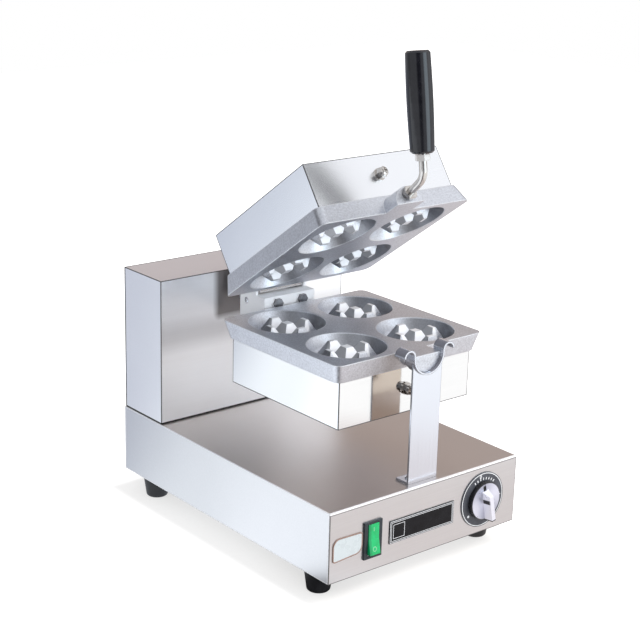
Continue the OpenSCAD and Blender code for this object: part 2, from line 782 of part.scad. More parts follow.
// The clamp plate presses the heater up; its front tab takes the housing's bolt
module clamp_plate() {
    difference() {
        union() {
            block([-clamp_w / 2, plate_mid_y - clamp_d / 2, clamp_top - clamp_t],
                [clamp_w / 2, plate_mid_y + clamp_d / 2, clamp_top]);
            block([-tab_half, housing_front + housing_t, clamp_top - clamp_t],
                [tab_half, plate_mid_y - clamp_d / 2, clamp_top]);
            block([-tab_half, housing_front + housing_t, clamp_top - tab_drop],
                [tab_half, housing_front + housing_t + clamp_t, clamp_top]);
        }
        for (i = [-1, 1], j = [-1, 1])
            rod_z(stud_d + hole_play, clamp_top - clamp_t - cut, clamp_top + cut,
                i * stud_x, plate_mid_y + j * stud_y);
        rod_y(m6[0] + hole_play, housing_front, housing_front + housing_t + clamp_t + cut, 0, house_bolt_z);
    }
}
module clamp_nuts() {
    for (i = [-1, 1], j = [-1, 1])
        translate([i * stud_x, plate_mid_y + j * stud_y, clamp_top - clamp_t - m6[2]]) difference() {
            cylinder(h = m6[2], d = m6[1] / cos(30), $fn = 6);
            translate([0, 0, -cut]) cylinder(h = m6[2] + 2 * cut, d = stud_d + hole_play);
        }
}
// The blanket lies on the housing's floor and ends short of the bolt's tab
blanket_clear = 4;
blanket_drop = 8;
module blanket(height, top) {
    back = housing_back - housing_t - sheet_play;
    front = housing_front + housing_t + clamp_t + m6[2] + blanket_clear;
    half = housing_w / 2 - housing_t - sheet_play;
    block([-half, front, plate_low - height + housing_t], [half, back, top]);
}
module housing_box(height) {
    half = housing_w / 2;
    difference() {
        block([-half, housing_front, plate_low - height], [half, housing_back, plate_low]);
        block([-half + housing_t, housing_front + housing_t, plate_low - height + housing_t],
            [half - housing_t, housing_back - housing_t, plate_low + cut]);
        rod_y(m6[0] + hole_play, housing_front - cut, housing_front + housing_t + cut, 0, house_bolt_z);
    }
}
// Housing bolt: washer, hexagon nut and domed screw outside, a nut behind the tab
house_nut_t = 5;
house_screw = [6, 9.6, 4.4];
module housing_bolt() {
    nut_face = housing_front - washer_t - house_nut_t;
    inner = housing_front + housing_t + clamp_t;
    difference() {
        rod_y(m6[1] * 1.3, housing_front - washer_t, housing_front, 0, house_bolt_z);
        rod_y(m6[0] + hole_play, 0, housing_back, 0, house_bolt_z);
    }
    nut_y(m6, house_nut_t, nut_face, 0, house_bolt_z);
    translate([0, nut_face, house_bolt_z]) dome_screw(house_screw, inner + m6[2] + cut - nut_face);
    nut_y(m6, m6[2], inner, 0, house_bolt_z);
}
blanket_top = clamp_top - clamp_t - m6[2] - blanket_drop;

module lower_heater() { color("dimgray") framed() heater_run(plate_low - heater_d / 2); }
module lower_clamp_plate() { color("silver") framed() clamp_plate(); }
module lower_clamp_nuts() { color("lightgray") framed() clamp_nuts(); }
module lower_insulation() { color("wheat") framed() blanket(lower_housing_h, blanket_top); }
module lower_housing() {
    color("whitesmoke") framed() difference() {
        housing_box(lower_housing_h);
        rod_y(conduit_d + hole_play, housing_back - housing_t - cut, housing_back + cut,
            conduit_x, conduit_z);
    }
}
module lower_housing_bolt() { color("silver") framed() housing_bolt(); }

// The leads to the lower heater run in a straight conduit from the column to the housing
conduit_wall = 1;
ferrule_d = 15;
ferrule_t = 5;
module lead_conduit() {
    color("gray") framed() difference() {
        union() {
            rod_y(conduit_d, housing_back - housing_t - ferrule_t, column_front + sheet_t + ferrule_t,
                conduit_x, conduit_z);
            rod_y(ferrule_d, housing_back, housing_back + ferrule_t, conduit_x, conduit_z);
            rod_y(ferrule_d, column_front - ferrule_t, column_front, conduit_x, conduit_z);
        }
        rod_y(conduit_d - 2 * conduit_wall, housing_front, base_d, conduit_x, conduit_z);
    }
}

// Controls

// Front face of the switch's bezel, its opening and the rocker's pivot
bezel_out = 2;
bezel_edge = 4.4;
rocker_w = switch_w - 2 * bezel_edge - 2 * sheet_play;
rocker_h = switch_h - bezel_edge - 2 * sheet_play;
switch_back = 24;
switch_wall = 1.6;
pivot_y = 7;
pivot_d = 3;
module switch_body() {
    color([0.12, 0.15, 0.17]) framed() translate([-switch_x, 0, switch_z]) difference() {
        union() {
            block([-switch_w / 2, -bezel_out, -switch_h / 2], [switch_w / 2, 0, switch_h / 2]);
            block([-switch_body_w / 2 + hole_play, 0, -switch_body_h / 2 + hole_play],
                [switch_body_w / 2 - hole_play, switch_back, switch_body_h / 2 - hole_play]);
        }
        block([-rocker_w / 2 - sheet_play, -bezel_out - cut, -rocker_h / 2 - sheet_play],
            [rocker_w / 2 + sheet_play, switch_back - switch_wall, rocker_h / 2 + sheet_play]);
        rod_x(pivot_d + 2 * pin_play, -switch_w, switch_w, pivot_y, 0);
    }
}
// The rocker's outer face is a shallow V; its I end is pressed in at rest
rocker_tilt = 6;
rocker_end_out = 4.3;
rocker_mid_out = 3;
rocker_skirt = 5;
rocker_foot = 12;
module switch_rocker() {
    half = rocker_h / 2;
    color([0.05, 0.62, 0.36])
        framed() translate([-switch_x, pivot_y, switch_z]) rotate([-rocker_tilt, 0, 0]) {
        translate([0, -pivot_y, 0]) difference() {
            side_profile(-rocker_w / 2, rocker_w / 2) polygon([[-rocker_end_out, -half * 0.94],
                [-rocker_mid_out, 0], [-rocker_end_out, half * 0.94], [rocker_skirt, half * 0.86],
                [rocker_foot, half * 0.3], [rocker_foot, -half * 0.3], [rocker_skirt, -half * 0.86]]);
        }
        rod_x(pivot_d, -switch_body_w / 2 + switch_wall, switch_body_w / 2 - switch_wall, 0, 0);
    }
}

dial_hole_gap = 2;
dial_hole_d = bush_d + dial_hole_gap;
module dial_plate() {
    color([0.25, 0.26, 0.28]) framed() difference() {
        rod_y(dial_d, -dial_t, 0, dial_x, dial_z);
        rod_y(dial_hole_d, -dial_t - cut, cut, dial_x, dial_z);
    }
}
// Thermostat: a can behind the panel with a threaded bush, and a shaft that carries the knob
can_w = 34;
can_d = 30;
bush_nut_t = 3;
shaft_out = 9;
module thermostat() {
    color("darkgray") framed() difference() {
        union() {
            block([dial_x - can_w / 2, sheet_t, dial_z - can_w / 2],
                [dial_x + can_w / 2, sheet_t + can_d, dial_z + can_w / 2]);
            rod_y(bush_d, -dial_t, sheet_t, dial_x, dial_z);
        }
        rod_y(shaft_d + 2 * pin_play, -dial_t - cut, sheet_t + can_d * 0.6, dial_x, dial_z);
    }
}
// The knob turns on the thermostat's shaft, which is fixed in it
bar_lean = 11;
bar_w = 5;
bar_foot_w = 11;
knob_bevel = 1;
notch_w = 3.4;
notch_l = 5.5;
notch_deep = 0.8;
shaft_in = 16;
module thermostat_knob() {
    r = knob_d / 2;
    face = knob_skirt_h;
    color("gainsboro") framed() translate([dial_x, -dial_t - knob_gap, dial_z]) rotate([0, -bar_lean, 0]) {
        rotate([90, 0, 0]) difference() {
            union() {
                rotate_extrude($fn = 96)
                    polygon([[0, 0], [r, 0], [r, face - knob_bevel], [r - knob_bevel, face], [0, face]]);
                intersection() {
                    cylinder(h = knob_h, r = r);
                    rotate([90, 0, 0]) linear_extrude(height = knob_d, center = true)
                        polygon([[-bar_foot_w / 2, 0], [bar_foot_w / 2, 0],
                            [bar_w / 2, knob_h], [-bar_w / 2, knob_h]]);
                    rotate([90, 0, 90]) linear_extrude(height = knob_d, center = true)
                        polygon([[-r, 0], [r, 0], [r * 0.62, face], [r * 0.4, knob_h], [-r, knob_h]]);
                }
            }
            translate([-notch_w / 2, r - notch_l - knob_bevel, face - notch_deep])
                cube([notch_w, notch_l, knob_h]);
        }
        rod_y(shaft_d, -knob_gap, shaft_in, 0, 0);
    }
}

// Capillary bulb: a tube along the lower plate's back
bulb_d = 6;
bulb_len = 90;
module thermostat_bulb() {
    color("goldenrod") framed() rod_y(bulb_d, plate_mid_y - bulb_len / 2, plate_mid_y + bulb_len / 2,
        4 * heater_bend, plate_low - bulb_d / 2);
}

plate_tag_t = 1;
nameplate_left = -switch_x + switch_w / 2 + nameplate_gap;
nameplate_right = dial_x - dial_d / 2 - nameplate_gap;
nameplate_z = foot_h + base_h * 0.457;
module nameplate() {
    color([0.1, 0.1, 0.11]) framed() translate([0, 0, nameplate_z])
        block([nameplate_left, -plate_tag_t, -nameplate_h / 2], [nameplate_right, 0, nameplate_h / 2]);
}
// The badge: four round corners of unequal size give its slanted oval outline
badge_w = 37;
badge_h = 27.6;
badge_inset = 4;
badge_x = -half_w + badge_inset + badge_w / 2;
badge_z = foot_h + base_h * 0.47;
badge_t = 0.8;
badge_corner_shares = [[-0.5, -0.38, 0.1], [-0.5, 0.1, 0.3], [0.5, 0.26, 0.12], [0.5, -0.1, 0.32]];
module badge() {
    color("ivory") framed() translate([badge_x, 0, badge_z]) rotate([90, 0, 0])
        linear_extrude(height = badge_t)
        hull() for (c = badge_corner_shares)
            translate([(c[0] - sign(c[0]) * c[2] * badge_h / badge_w) * badge_w, c[1] * badge_h])
                circle(r = c[2] * badge_h);
}

block_w = 46;
block_d = 22;
block_h = 18;
block_back = 70;
block_y = base_d - block_back;
way_n = 3;
way_d = 5;
module terminal_block() {
    color("ivory") framed() difference() {
        block([gland_x - block_w / 2, block_y, foot_h + cover_t],
            [gland_x + block_w / 2, block_y + block_d, foot_h + cover_t + block_h]);
        for (i = [0:way_n - 1])
            rod_y(way_d, block_y - cut, block_y + block_d + cut,
                gland_x + (i - (way_n - 1) / 2) * block_w / way_n, foot_h + cover_t + block_h / 2);
    }
}
gland_in = 12;
module cord_gland() {
    color([0.12, 0.12, 0.12]) framed() difference() {
        union() {
            rod_y(gland_d, base_d - sheet_t - gland_in, base_d, gland_x, gland_z);
            rod_y(gland_flange_d, base_d, base_d + gland_flange_t, gland_x, gland_z);
            rod_y(gland_d, base_d + gland_flange_t, base_d + gland_out, gland_x, gland_z);
        }
        rod_y(cord_hole_d, base_d - sheet_t - gland_in - cut, base_d + gland_out + cut, gland_x, gland_z);
    }
}
module gland_nut() {
    color([0.15, 0.15, 0.15]) framed()
        translate([gland_x, base_d - sheet_t - gland_nut_t, gland_z]) rotate([-90, 0, 0]) difference() {
            cylinder(h = gland_nut_t, d = gland_flange_d / cos(30), $fn = 6);
            translate([0, 0, -cut]) cylinder(h = gland_nut_t + 2 * cut, d = gland_d + hole_play);
        }
}

// Lid

upper_top = parting_z + plate_gap + plate_t;
lug_pad = 3;
module upper_plate() {
    color("darkgray") opened() difference() {
        union() {
            over_parting() plate_body();
            block([-lug_w / 2 - lug_pad, plate_back - 2 * plate_draft, parting_z + plate_gap],
                [lug_w / 2 + lug_pad, plate_back, upper_top]);
        }
        both_sides() rod_y(m4[0], plate_back - lid_screw_len, plate_back + cut, lid_screw_x, lid_screw_z);
        rod_seat();
    }
}
module upper_heater() { color("dimgray") opened() over_parting() heater_run(plate_low - heater_d / 2); }
module upper_clamp_plate() { color("silver") opened() over_parting() clamp_plate(); }
module upper_clamp_nuts() { color("lightgray") opened() over_parting() clamp_nuts(); }
module upper_insulation() { color("wheat") opened() over_parting() blanket(upper_housing_h, blanket_top); }
module upper_housing() { color("whitesmoke") opened() over_parting() housing_box(upper_housing_h); }
module upper_housing_bolt() { color("silver") opened() over_parting() housing_bolt(); }

// The lid's hinge lug: a channel whose web clears the bracket's deck
web_clear = 0.6;
web_low = bracket_top + web_clear;
lug_tail = 1.4;
flange_shy = 0.5;
flange_top = upper_top - flange_shy;
lid_screw_x = 14;
lid_screw_z = (web_low + lug_t + flange_top) / 2;
lid_screw_len = 12;
module lid_hinge() {
    color("gainsboro") opened() difference() {
        union() {
            block([-lug_w / 2, plate_back, web_low], [lug_w / 2, hinge_y + lug_tail, web_low + lug_t]);
            block([-lug_w / 2, plate_back, web_low], [lug_w / 2, plate_back + lug_t, flange_top]);
            both_sides() side_profile(lug_w / 2 - lug_t, lug_w / 2) {
                translate([hinge_y, hinge_z]) circle(r = lug_end_r);
                translate([plate_back, web_low])
                    square([hinge_y + lug_tail - plate_back, flange_top - web_low]);
                translate([hinge_y - lug_end_r, web_low]) square([lug_end_r, hinge_z + lug_end_r - web_low]);
            }
        }
        rod_x(pin_d + 2 * pin_play, -lug_w, lug_w, hinge_y, hinge_z);
        both_sides()
            rod_y(m4[0] + hole_play, plate_back - cut, plate_back + lug_t + cut, lid_screw_x, lid_screw_z);
    }
}
module lid_hinge_screws() {
    color("dimgray") opened() for (side = [-1, 1])
        translate([side * lid_screw_x, plate_back + lug_t, lid_screw_z]) rotate([0, 0, 180])
            hex_bolt(m4, lid_screw_len);
}

// Handle: a rod from the boss that bends up into the grip
rod_y0 = plate_front - boss_len;
rod_z0 = parting_z + plate_gap + boss_r / 2;
rod_bury = 14;
rod_reach = 20;
rod_bend_r = 15;
bend_angle = grip_angle - rod_angle;
leg_len = 9;
leg_in = 0.5;
leg_step = 0.04;
ferrule_h = 6;
ferrule_gap = 1;
tang_len = 40;
jam_t = 4;
handle_nut_af = 13;
module along_rod() { translate([0, rod_y0, rod_z0]) rotate([-rod_angle, 0, 0]) children(); }
module after_bend() {
    along_rod() translate([0, -rod_reach, rod_bend_r]) rotate([-bend_angle, 0, 0])
        translate([0, 0, -rod_bend_r]) children();
}
module rod_seat() { along_rod() rod_y(rod_d, -cut, rod_bury, 0, 0); }
module handle_rod() {
    color("silver") opened() {
        along_rod() rod_y(rod_d, -rod_reach, rod_bury, 0, 0);
        along_rod() translate([0, -rod_reach, rod_bend_r]) rotate([0, -90, 0]) rotate([0, 0, 180])
            intersection() {
                rotate_extrude() translate([rod_bend_r, 0]) circle(d = rod_d);
                linear_extrude(height = 2 * rod_d, center = true) polygon(concat([[0, 0]],
                    [for (k = [0:2]) 2 * rod_bend_r * [cos(k / 2 * bend_angle), sin(k / 2 * bend_angle)]]));
            }
        after_bend() rod_y(rod_d - leg_step, -leg_len - ferrule_h - ferrule_gap - tang_len, leg_in, 0, 0);
    }
}
module handle_nuts() {
    color("silver") opened() {
        along_rod() nut_y([rod_d, handle_nut_af], jam_t, -jam_t - cut, 0, 0);
        after_bend() nut_y([rod_d, handle_nut_af], ferrule_h, -leg_len - ferrule_h, 0, 0);
    }
}
grip_slim_low = 2;
grip_slim_top = 1.5;
grip_low_d = grip_d - grip_slim_low;
grip_top_d = grip_d - grip_slim_top;
grip_round = 2;
module handle_grip() {
    reach = leg_len + ferrule_h + ferrule_gap;
    color([0.05, 0.05, 0.06]) opened() after_bend() translate([0, -reach, 0]) rotate([90, 0, 0])
        rotate_extrude() difference() {
            polygon(concat([[0, 0], [grip_low_d / 2 - grip_round, 0]],
                [for (k = [0:1:6]) let (s = k / 6)
                    [grip_low_d / 2 + (grip_top_d - grip_low_d) / 2 * s
                        + (grip_d - grip_low_d) * 0.45 * sin(180 * s),
                        grip_round + (grip_len - 2 * grip_round) * s]],
                [[grip_top_d / 2 - grip_round, grip_len], [0, grip_len]]));
            translate([0, -cut]) square([rod_d / 2 + pin_play, tang_len + cut]);
        }
}

base_shell();
front_panel();
rear_panel();
bottom_cover();
foot_front_left();
foot_front_right();
foot_back_left();
foot_back_right();
base_screws();
rear_panel_screws();
column_shell();
column_rear_cover();
column_cover_screws();
column_stiffener();
hinge_arm();
arm_bolts();
hinge_bracket();
hinge_bracket_bolts();
bracket_side_screws();
hinge_pin();
hinge_pin_nut();
hinge_spring_washers();
hinge_thrust_washers();
lid_stop_pin();
support_post();
post_screws();
cradle();
lower_plate();
lower_heater();
lower_clamp_plate();
lower_clamp_nuts();
lower_insulation();
lower_housing();
lower_housing_bolt();
plate_rear_bolts();
thermostat();
thermostat_bulb();
dial_plate();
nameplate();
badge();
switch_body();
terminal_block();
cord_gland();
gland_nut();
lead_conduit();
upper_plate();
upper_heater();
upper_clamp_plate();
upper_clamp_nuts();
upper_insulation();
upper_housing();
upper_housing_bolt();
lid_hinge();
lid_hinge_screws();
handle_rod();
handle_nuts();
handle_grip();
thermostat_knob();
switch_rocker();
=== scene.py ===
import json
import math

import bmesh
import bpy
from mathutils import Matrix, Vector


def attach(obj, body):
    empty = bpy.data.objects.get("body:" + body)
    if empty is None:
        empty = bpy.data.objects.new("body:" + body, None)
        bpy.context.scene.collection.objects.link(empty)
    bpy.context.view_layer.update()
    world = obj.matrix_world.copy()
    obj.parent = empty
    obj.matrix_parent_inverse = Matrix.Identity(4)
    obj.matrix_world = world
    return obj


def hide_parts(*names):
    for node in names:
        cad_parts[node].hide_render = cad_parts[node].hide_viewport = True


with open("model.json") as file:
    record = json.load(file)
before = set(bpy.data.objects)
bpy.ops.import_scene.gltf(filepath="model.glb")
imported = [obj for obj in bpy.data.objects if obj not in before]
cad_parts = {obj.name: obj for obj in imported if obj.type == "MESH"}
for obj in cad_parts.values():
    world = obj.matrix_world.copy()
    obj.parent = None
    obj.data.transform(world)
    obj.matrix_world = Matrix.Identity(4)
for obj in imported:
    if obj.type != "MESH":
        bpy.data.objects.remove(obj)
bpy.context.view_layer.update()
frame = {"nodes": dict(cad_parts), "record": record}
cad = frame["nodes"]
scene = bpy.context.scene
scene.view_settings.view_transform = "Standard"

# Camera

VIEW_TURN = math.radians(-39.74)
VIEW_RISE = math.radians(17.28)
VIEW_ROLL = math.radians(1.51)
VIEW_DISTANCE = 1.62264
VIEW_TARGET = Vector((0.00357, 0.00042, 0.21929))
LENS_MM = 87.30


def place_camera():
    right = Vector((math.cos(VIEW_TURN), math.sin(VIEW_TURN), 0))
    back = Vector((math.sin(VIEW_TURN) * math.cos(VIEW_RISE), -math.cos(VIEW_TURN) * math.cos(VIEW_RISE),
                   math.sin(VIEW_RISE)))
    up = back.cross(right)
    across = math.cos(VIEW_ROLL) * right + math.sin(VIEW_ROLL) * up
    upwards = math.cos(VIEW_ROLL) * up - math.sin(VIEW_ROLL) * right
    spot = VIEW_TARGET + VIEW_DISTANCE * back
    rows = [[across[i], upwards[i], back[i], spot[i]] for i in range(3)]
    camera = bpy.data.objects.new("camera", bpy.data.cameras.new("camera"))
    camera.data.lens = LENS_MM
    camera.matrix_world = Matrix(rows + [[0, 0, 0, 1]])
    scene.collection.objects.link(camera)
    scene.camera = camera


place_camera()

# Node building

MM = 0.001
FLOAT, VECTOR = "NodeSocketFloat", "NodeSocketVector"


def wire(tree, end, value):
    """Joins an output to an input, or sets the input to a plain value"""
    if isinstance(value, bpy.types.NodeSocket):
        tree.links.new(value, end)
    elif hasattr(end.default_value, "__len__") and len(end.default_value) == 4 and len(value) == 3:
        end.default_value = (*value, 1)
    else:
        end.default_value = value


def add(tree, kind, inputs=None, **settings):
    node = tree.nodes.new(kind)
    for name, value in settings.items():
        setattr(node, name, value)
    for name, value in (inputs or {}).items():
        wire(tree, node.inputs[name], value)
    return node


def calc(tree, operation, *values):
    node = add(tree, "ShaderNodeMath", operation=operation)
    for end, value in zip(node.inputs, values):
        wire(tree, end, value)
    return node.outputs[0]


def vector_calc(tree, operation, *values):
    node = add(tree, "ShaderNodeVectorMath", operation=operation)
    for end, value in zip(node.inputs, values):
        wire(tree, end, value)
    return node.outputs["Value" if operation in ("DOT_PRODUCT", "LENGTH") else "Vector"]


def along(tree, spot, direction):
    """How far a spot lies along a direction"""
    return vector_calc(tree, "DOT_PRODUCT", spot, direction)


def split(tree, spot):
    """The x, y and z of a spot or a direction"""
    return tuple(add(tree, "ShaderNodeSeparateXYZ", {"Vector": spot}).outputs)


def place(tree):
    return add(tree, "ShaderNodeTexCoord").outputs["Object"]


def facing(tree):
    """The x, y and z of the way that the surface faces"""
    return split(tree, add(tree, "ShaderNodeTexCoord").outputs["Normal"])


def blend_colour(tree, share, first, second):
    node = add(tree, "ShaderNodeMix", data_type="RGBA")
    wire(tree, node.inputs[0], share)
    wire(tree, node.inputs[6], first)
    wire(tree, node.inputs[7], second)
    return node.outputs[2]


def ramp(tree, value, low, high, start=0.0, end=1.0, smooth=False):
    """start at low, changing to end at high"""
    node = add(tree, "ShaderNodeMapRange", {"Value": value, "From Min": low, "From Max": high,
                                            "To Min": start, "To Max": end})
    node.interpolation_type = "SMOOTHSTEP" if smooth else "LINEAR"
    return node.outputs["Result"]


def fall(tree, value, low, high):
    """1 at low, falling to 0 at high"""
    return ramp(tree, value, low, high, 1.0, 0.0)


def any_of(tree, *shares):
    """The largest of some shares: 1 where any of them is 1"""
    total = shares[0]
    for share in shares[1:]:
        total = calc(tree, "MAXIMUM", total, share)
    return total


def all_of(tree, *shares):
    """The product of some shares: 1 where all of them are 1"""
    total = shares[0]
    for share in shares[1:]:
        total = calc(tree, "MULTIPLY", total, share)
    return total


def band(tree, value, low, high, blur=0.15 * MM):
    """1 where value lies between low and high"""
    rise = ramp(tree, value, low - blur, low + blur)
    return all_of(tree, rise, fall(tree, value, high - blur, high + blur))


def box_mask(tree, across, up, left, right, low, high):
    return all_of(tree, band(tree, across, left, right), band(tree, up, low, high))


def radius_of(tree, across, up):
    squares = [calc(tree, "MULTIPLY", side, side) for side in (across, up)]
    return calc(tree, "SQRT", calc(tree, "ADD", *squares))


def noise(tree, spot, scale, detail, rough=0.5):
    return add(tree, "ShaderNodeTexNoise", {"Vector": spot, "Scale": scale, "Detail": detail,
                                            "Roughness": rough}).outputs["Fac"]


# Room: white to the camera, grey with patches of light and shade to everything else

ROOM_GREY, WHITE = (0.68, 0.70, 0.74), (1.0, 1.0, 1.0)
ROOM_PATCHES = {
    "warm_behind_right": dict(aim=(0.61, 0.74, 0.28), core=14, rim=40, colour=(0.57, 0.50, 0.47)),
    "dark_behind_left": dict(aim=(-0.66, 0.66, 0.36), core=10, rim=34, colour=(0.10, 0.10, 0.11)),
    "dim_right": dict(aim=(0.95, 0.10, 0.30), core=8, rim=34, colour=(0.30, 0.29, 0.29)),
    "dark_front_left": dict(aim=(-0.62, -0.75, 0.20), core=9, rim=25, colour=(0.07, 0.07, 0.08)),
    "bright_high_right": dict(aim=(0.60, -0.52, 0.60), core=32, rim=54, colour=(1.00, 1.01, 1.04)),
    "bright_front": dict(aim=(0.38, -0.92, 0.04), core=12, rim=22, colour=(2.5, 2.9, 3.2)),
    "pale_overhead": dict(aim=(-0.30, -0.50, 0.85), core=10, rim=34, colour=(0.85, 0.87, 0.90))}


def patch_over(tree, room, direction, aim, core, rim, colour):
    """A colour over the room: full within core degrees of aim, gone at rim degrees"""
    near = along(tree, direction, Vector(aim).normalized())
    share = ramp(tree, near, math.cos(math.radians(rim)), math.cos(math.radians(core)), smooth=True)
    return blend_colour(tree, share, room, colour)


def light_room():
    world = bpy.data.worlds.new("studio")
    scene.world = world
    world.use_nodes = True
    tree = world.node_tree
    tree.nodes.clear()
    direction = add(tree, "ShaderNodeTexCoord").outputs["Generated"]
    room = ROOM_GREY
    for patch in ROOM_PATCHES.values():
        room = patch_over(tree, room, direction, **patch)
    seen = add(tree, "ShaderNodeLightPath").outputs["Is Camera Ray"]
    shown = blend_colour(tree, seen, room, WHITE)
    background = add(tree, "ShaderNodeBackground", {"Color": shown, "Strength": 1.0})
    out = add(tree, "ShaderNodeOutputWorld")
    tree.links.new(background.outputs[0], out.inputs["Surface"])


light_room()

# Lamps


def add_lamp(name, spot, aim, size, watts, colour):
    lamp = bpy.data.lights.new(name, "AREA")
    lamp.shape = "RECTANGLE"
    lamp.size, lamp.size_y = size
    lamp.energy = watts
    lamp.color = colour
    item = bpy.data.objects.new(name, lamp)
    item.location = spot
    item.rotation_euler = (Vector(aim) - Vector(spot)).to_track_quat("-Z", "Y").to_euler()
    item.visible_glossy = False
    scene.collection.objects.link(item)


add_lamp("key", spot=(1.1, -1.2, 1.5), aim=(0, 0, 0.2), size=(1.0, 0.9), watts=30,
         colour=(1.0, 0.98, 0.95))
add_lamp("fill", spot=(-1.4, -0.6, 1.3), aim=(0, 0, 0.2), size=(1.0, 1.0), watts=6,
         colour=(0.92, 0.96, 1.0))
add_lamp("front_low", spot=(-0.7, -1.5, 0.45), aim=(0, 0, 0.24), size=(0.8, 0.6), watts=9,
         colour=(0.95, 0.97, 1.0))

# Floor: white with a pale shadow to the camera, coloured regions to the metal that mirrors it

FLOOR_SIZE = 6
BASE_HALF_W, BASE_HALF_D = 125 * MM, 178 * MM
SHADOW_REACH = (6 * MM, 30 * MM)
FLOOR_GLOW, FLOOR_FAR_GLOW = 0.62, 1.3
GLOW_COLOUR, MATT_COLOUR = (1.0, 0.995, 0.985), (0.42, 0.41, 0.40)
LEFTWARD, RIGHTWARD, FORWARD = (-1, -1, 0), (0.64, -0.77, 0), (-0.636, -0.771, 0)
TO_COOL, TO_BRIGHT = (-0.14, 0.04), (0.07, 0.17)
TO_WARM, TO_FAR_WARM = (-0.05, 0.20), (0.43, 0.55)
TO_SHADE = (0.955, 0.995)
FLOOR_LAVENDER, FLOOR_COOL, FLOOR_BRIGHT = (0.53, 0.57, 0.67), (1.02, 1.08, 1.15), (1.22, 1.28, 1.36)
FLOOR_WARM, FLOOR_FAR_WARM = (0.83, 0.77, 0.76), (1.08, 1.08, 1.08)
FLOOR_SHADE = (0.07, 0.07, 0.08)


def floor_to_metal(tree, spot):
    """Lavender to bright at the left, warm at the right, and a dark wedge in front"""
    leftward = along(tree, spot, LEFTWARD)
    cool = blend_colour(tree, ramp(tree, leftward, *TO_COOL, smooth=True), FLOOR_LAVENDER, FLOOR_COOL)
    cool = blend_colour(tree, ramp(tree, leftward, *TO_BRIGHT, smooth=True), cool, FLOOR_BRIGHT)
    rightward = along(tree, spot, RIGHTWARD)
    warm = blend_colour(tree, ramp(tree, rightward, *TO_FAR_WARM, smooth=True), FLOOR_WARM, FLOOR_FAR_WARM)
    sides = blend_colour(tree, ramp(tree, rightward, *TO_WARM, smooth=True), cool, warm)
    forward = calc(tree, "DIVIDE", along(tree, spot, FORWARD), vector_calc(tree, "LENGTH", spot))
    return blend_colour(tree, ramp(tree, forward, *TO_SHADE, smooth=True), sides, FLOOR_SHADE)


def floor_glow(tree, spot):
    """How bright the floor glows: less under the base and close to it, so that a shadow stays"""
    x, y, _ = split(tree, spot)
    beyond = any_of(tree, calc(tree, "SUBTRACT", calc(tree, "ABSOLUTE", x), BASE_HALF_W),
                    calc(tree, "SUBTRACT", calc(tree, "ABSOLUTE", y), BASE_HALF_D))
    return ramp(tree, beyond, *SHADOW_REACH, FLOOR_GLOW, FLOOR_FAR_GLOW, smooth=True)


def lay_floor():
    bpy.ops.mesh.primitive_plane_add(size=FLOOR_SIZE)
    floor = bpy.context.object
    floor.name = "floor"
    paint = bpy.data.materials.new("floor_white")
    paint.use_nodes = True
    tree = paint.node_tree
    tree.nodes.clear()
    path = add(tree, "ShaderNodeLightPath").outputs
    spot = place(tree)
    strength = calc(tree, "MULTIPLY", path["Is Camera Ray"], floor_glow(tree, spot))
    glow = add(tree, "ShaderNodeEmission", {"Color": GLOW_COLOUR, "Strength": strength})
    matt = add(tree, "ShaderNodeBsdfDiffuse", {"Color": MATT_COLOUR})
    seen = add(tree, "ShaderNodeAddShader")
    tree.links.new(matt.outputs[0], seen.inputs[0])
    tree.links.new(glow.outputs[0], seen.inputs[1])
    mirror = add(tree, "ShaderNodeEmission", {"Color": floor_to_metal(tree, spot), "Strength": 1.0})
    total = add(tree, "ShaderNodeMixShader", {"Fac": path["Is Glossy Ray"]})
    tree.links.new(seen.outputs[0], total.inputs[1])
    tree.links.new(mirror.outputs[0], total.inputs[2])
    out = add(tree, "ShaderNodeOutputMaterial")
    tree.links.new(total.outputs[0], out.inputs["Surface"])
    floor.data.materials.append(paint)


lay_floor()

# Places on the machine that the finishes follow

PIN_BACK, PIN_HEIGHT = 73.8 * MM, 251.3 * MM
LID_OPEN = math.radians(35.28)
BASE_TOP = 97 * MM
PLATE_MIDDLE, PARTING = -54.25 * MM, 228.3 * MM
BOWL_ACROSS, BOWL_AWAY = 91 * MM, 94 * MM


def middle_of(node, turn=0.0):
    """Middle and half size of a node, turned back about the hinge pin"""
    pin = Vector((0, PIN_BACK, PIN_HEIGHT))
    back = Matrix.Rotation(turn, 3, "X")
    points = [back @ (v.co - pin) + pin for v in cad[node].data.vertices]
    low = Vector([min(p[i] for p in points) for i in range(3)])
    high = Vector([max(p[i] for p in points) for i in range(3)])
    return (low + high) / 2, (high - low) / 2


def from_middle(tree, middle):
    """Distances across, backwards and up from a middle"""
    return split(tree, vector_calc(tree, "SUBTRACT", place(tree), middle))


def turned_back(tree, turn):
    """A spot of the surface, turned back about the hinge pin"""
    pin = (0, PIN_BACK, PIN_HEIGHT)
    return add(tree, "ShaderNodeVectorRotate", {"Vector": place(tree), "Center": pin, "Angle": turn},
               rotation_type="X_AXIS").outputs["Vector"]


# Effects that several finishes share


def effect(name, inputs, outputs):
    """A node group, what it is given and what it makes"""
    tree = bpy.data.node_groups.new(name, "ShaderNodeTree")
    for label, kind, value in inputs:
        tree.interface.new_socket(label, in_out="INPUT", socket_type=kind).default_value = value
    for label, kind in outputs:
        tree.interface.new_socket(label, in_out="OUTPUT", socket_type=kind)
    return tree, tree.nodes.new("NodeGroupInput").outputs, tree.nodes.new("NodeGroupOutput").inputs


def use(tree, group, **inputs):
    node = tree.nodes.new("ShaderNodeGroup")
    node.node_tree = group
    for name, value in inputs.items():
        wire(tree, node.inputs[name], value)
    return node.outputs


EDGE_STARTS, EDGE_FULL = 0.997, 0.965
BEVEL_SAMPLES = 4


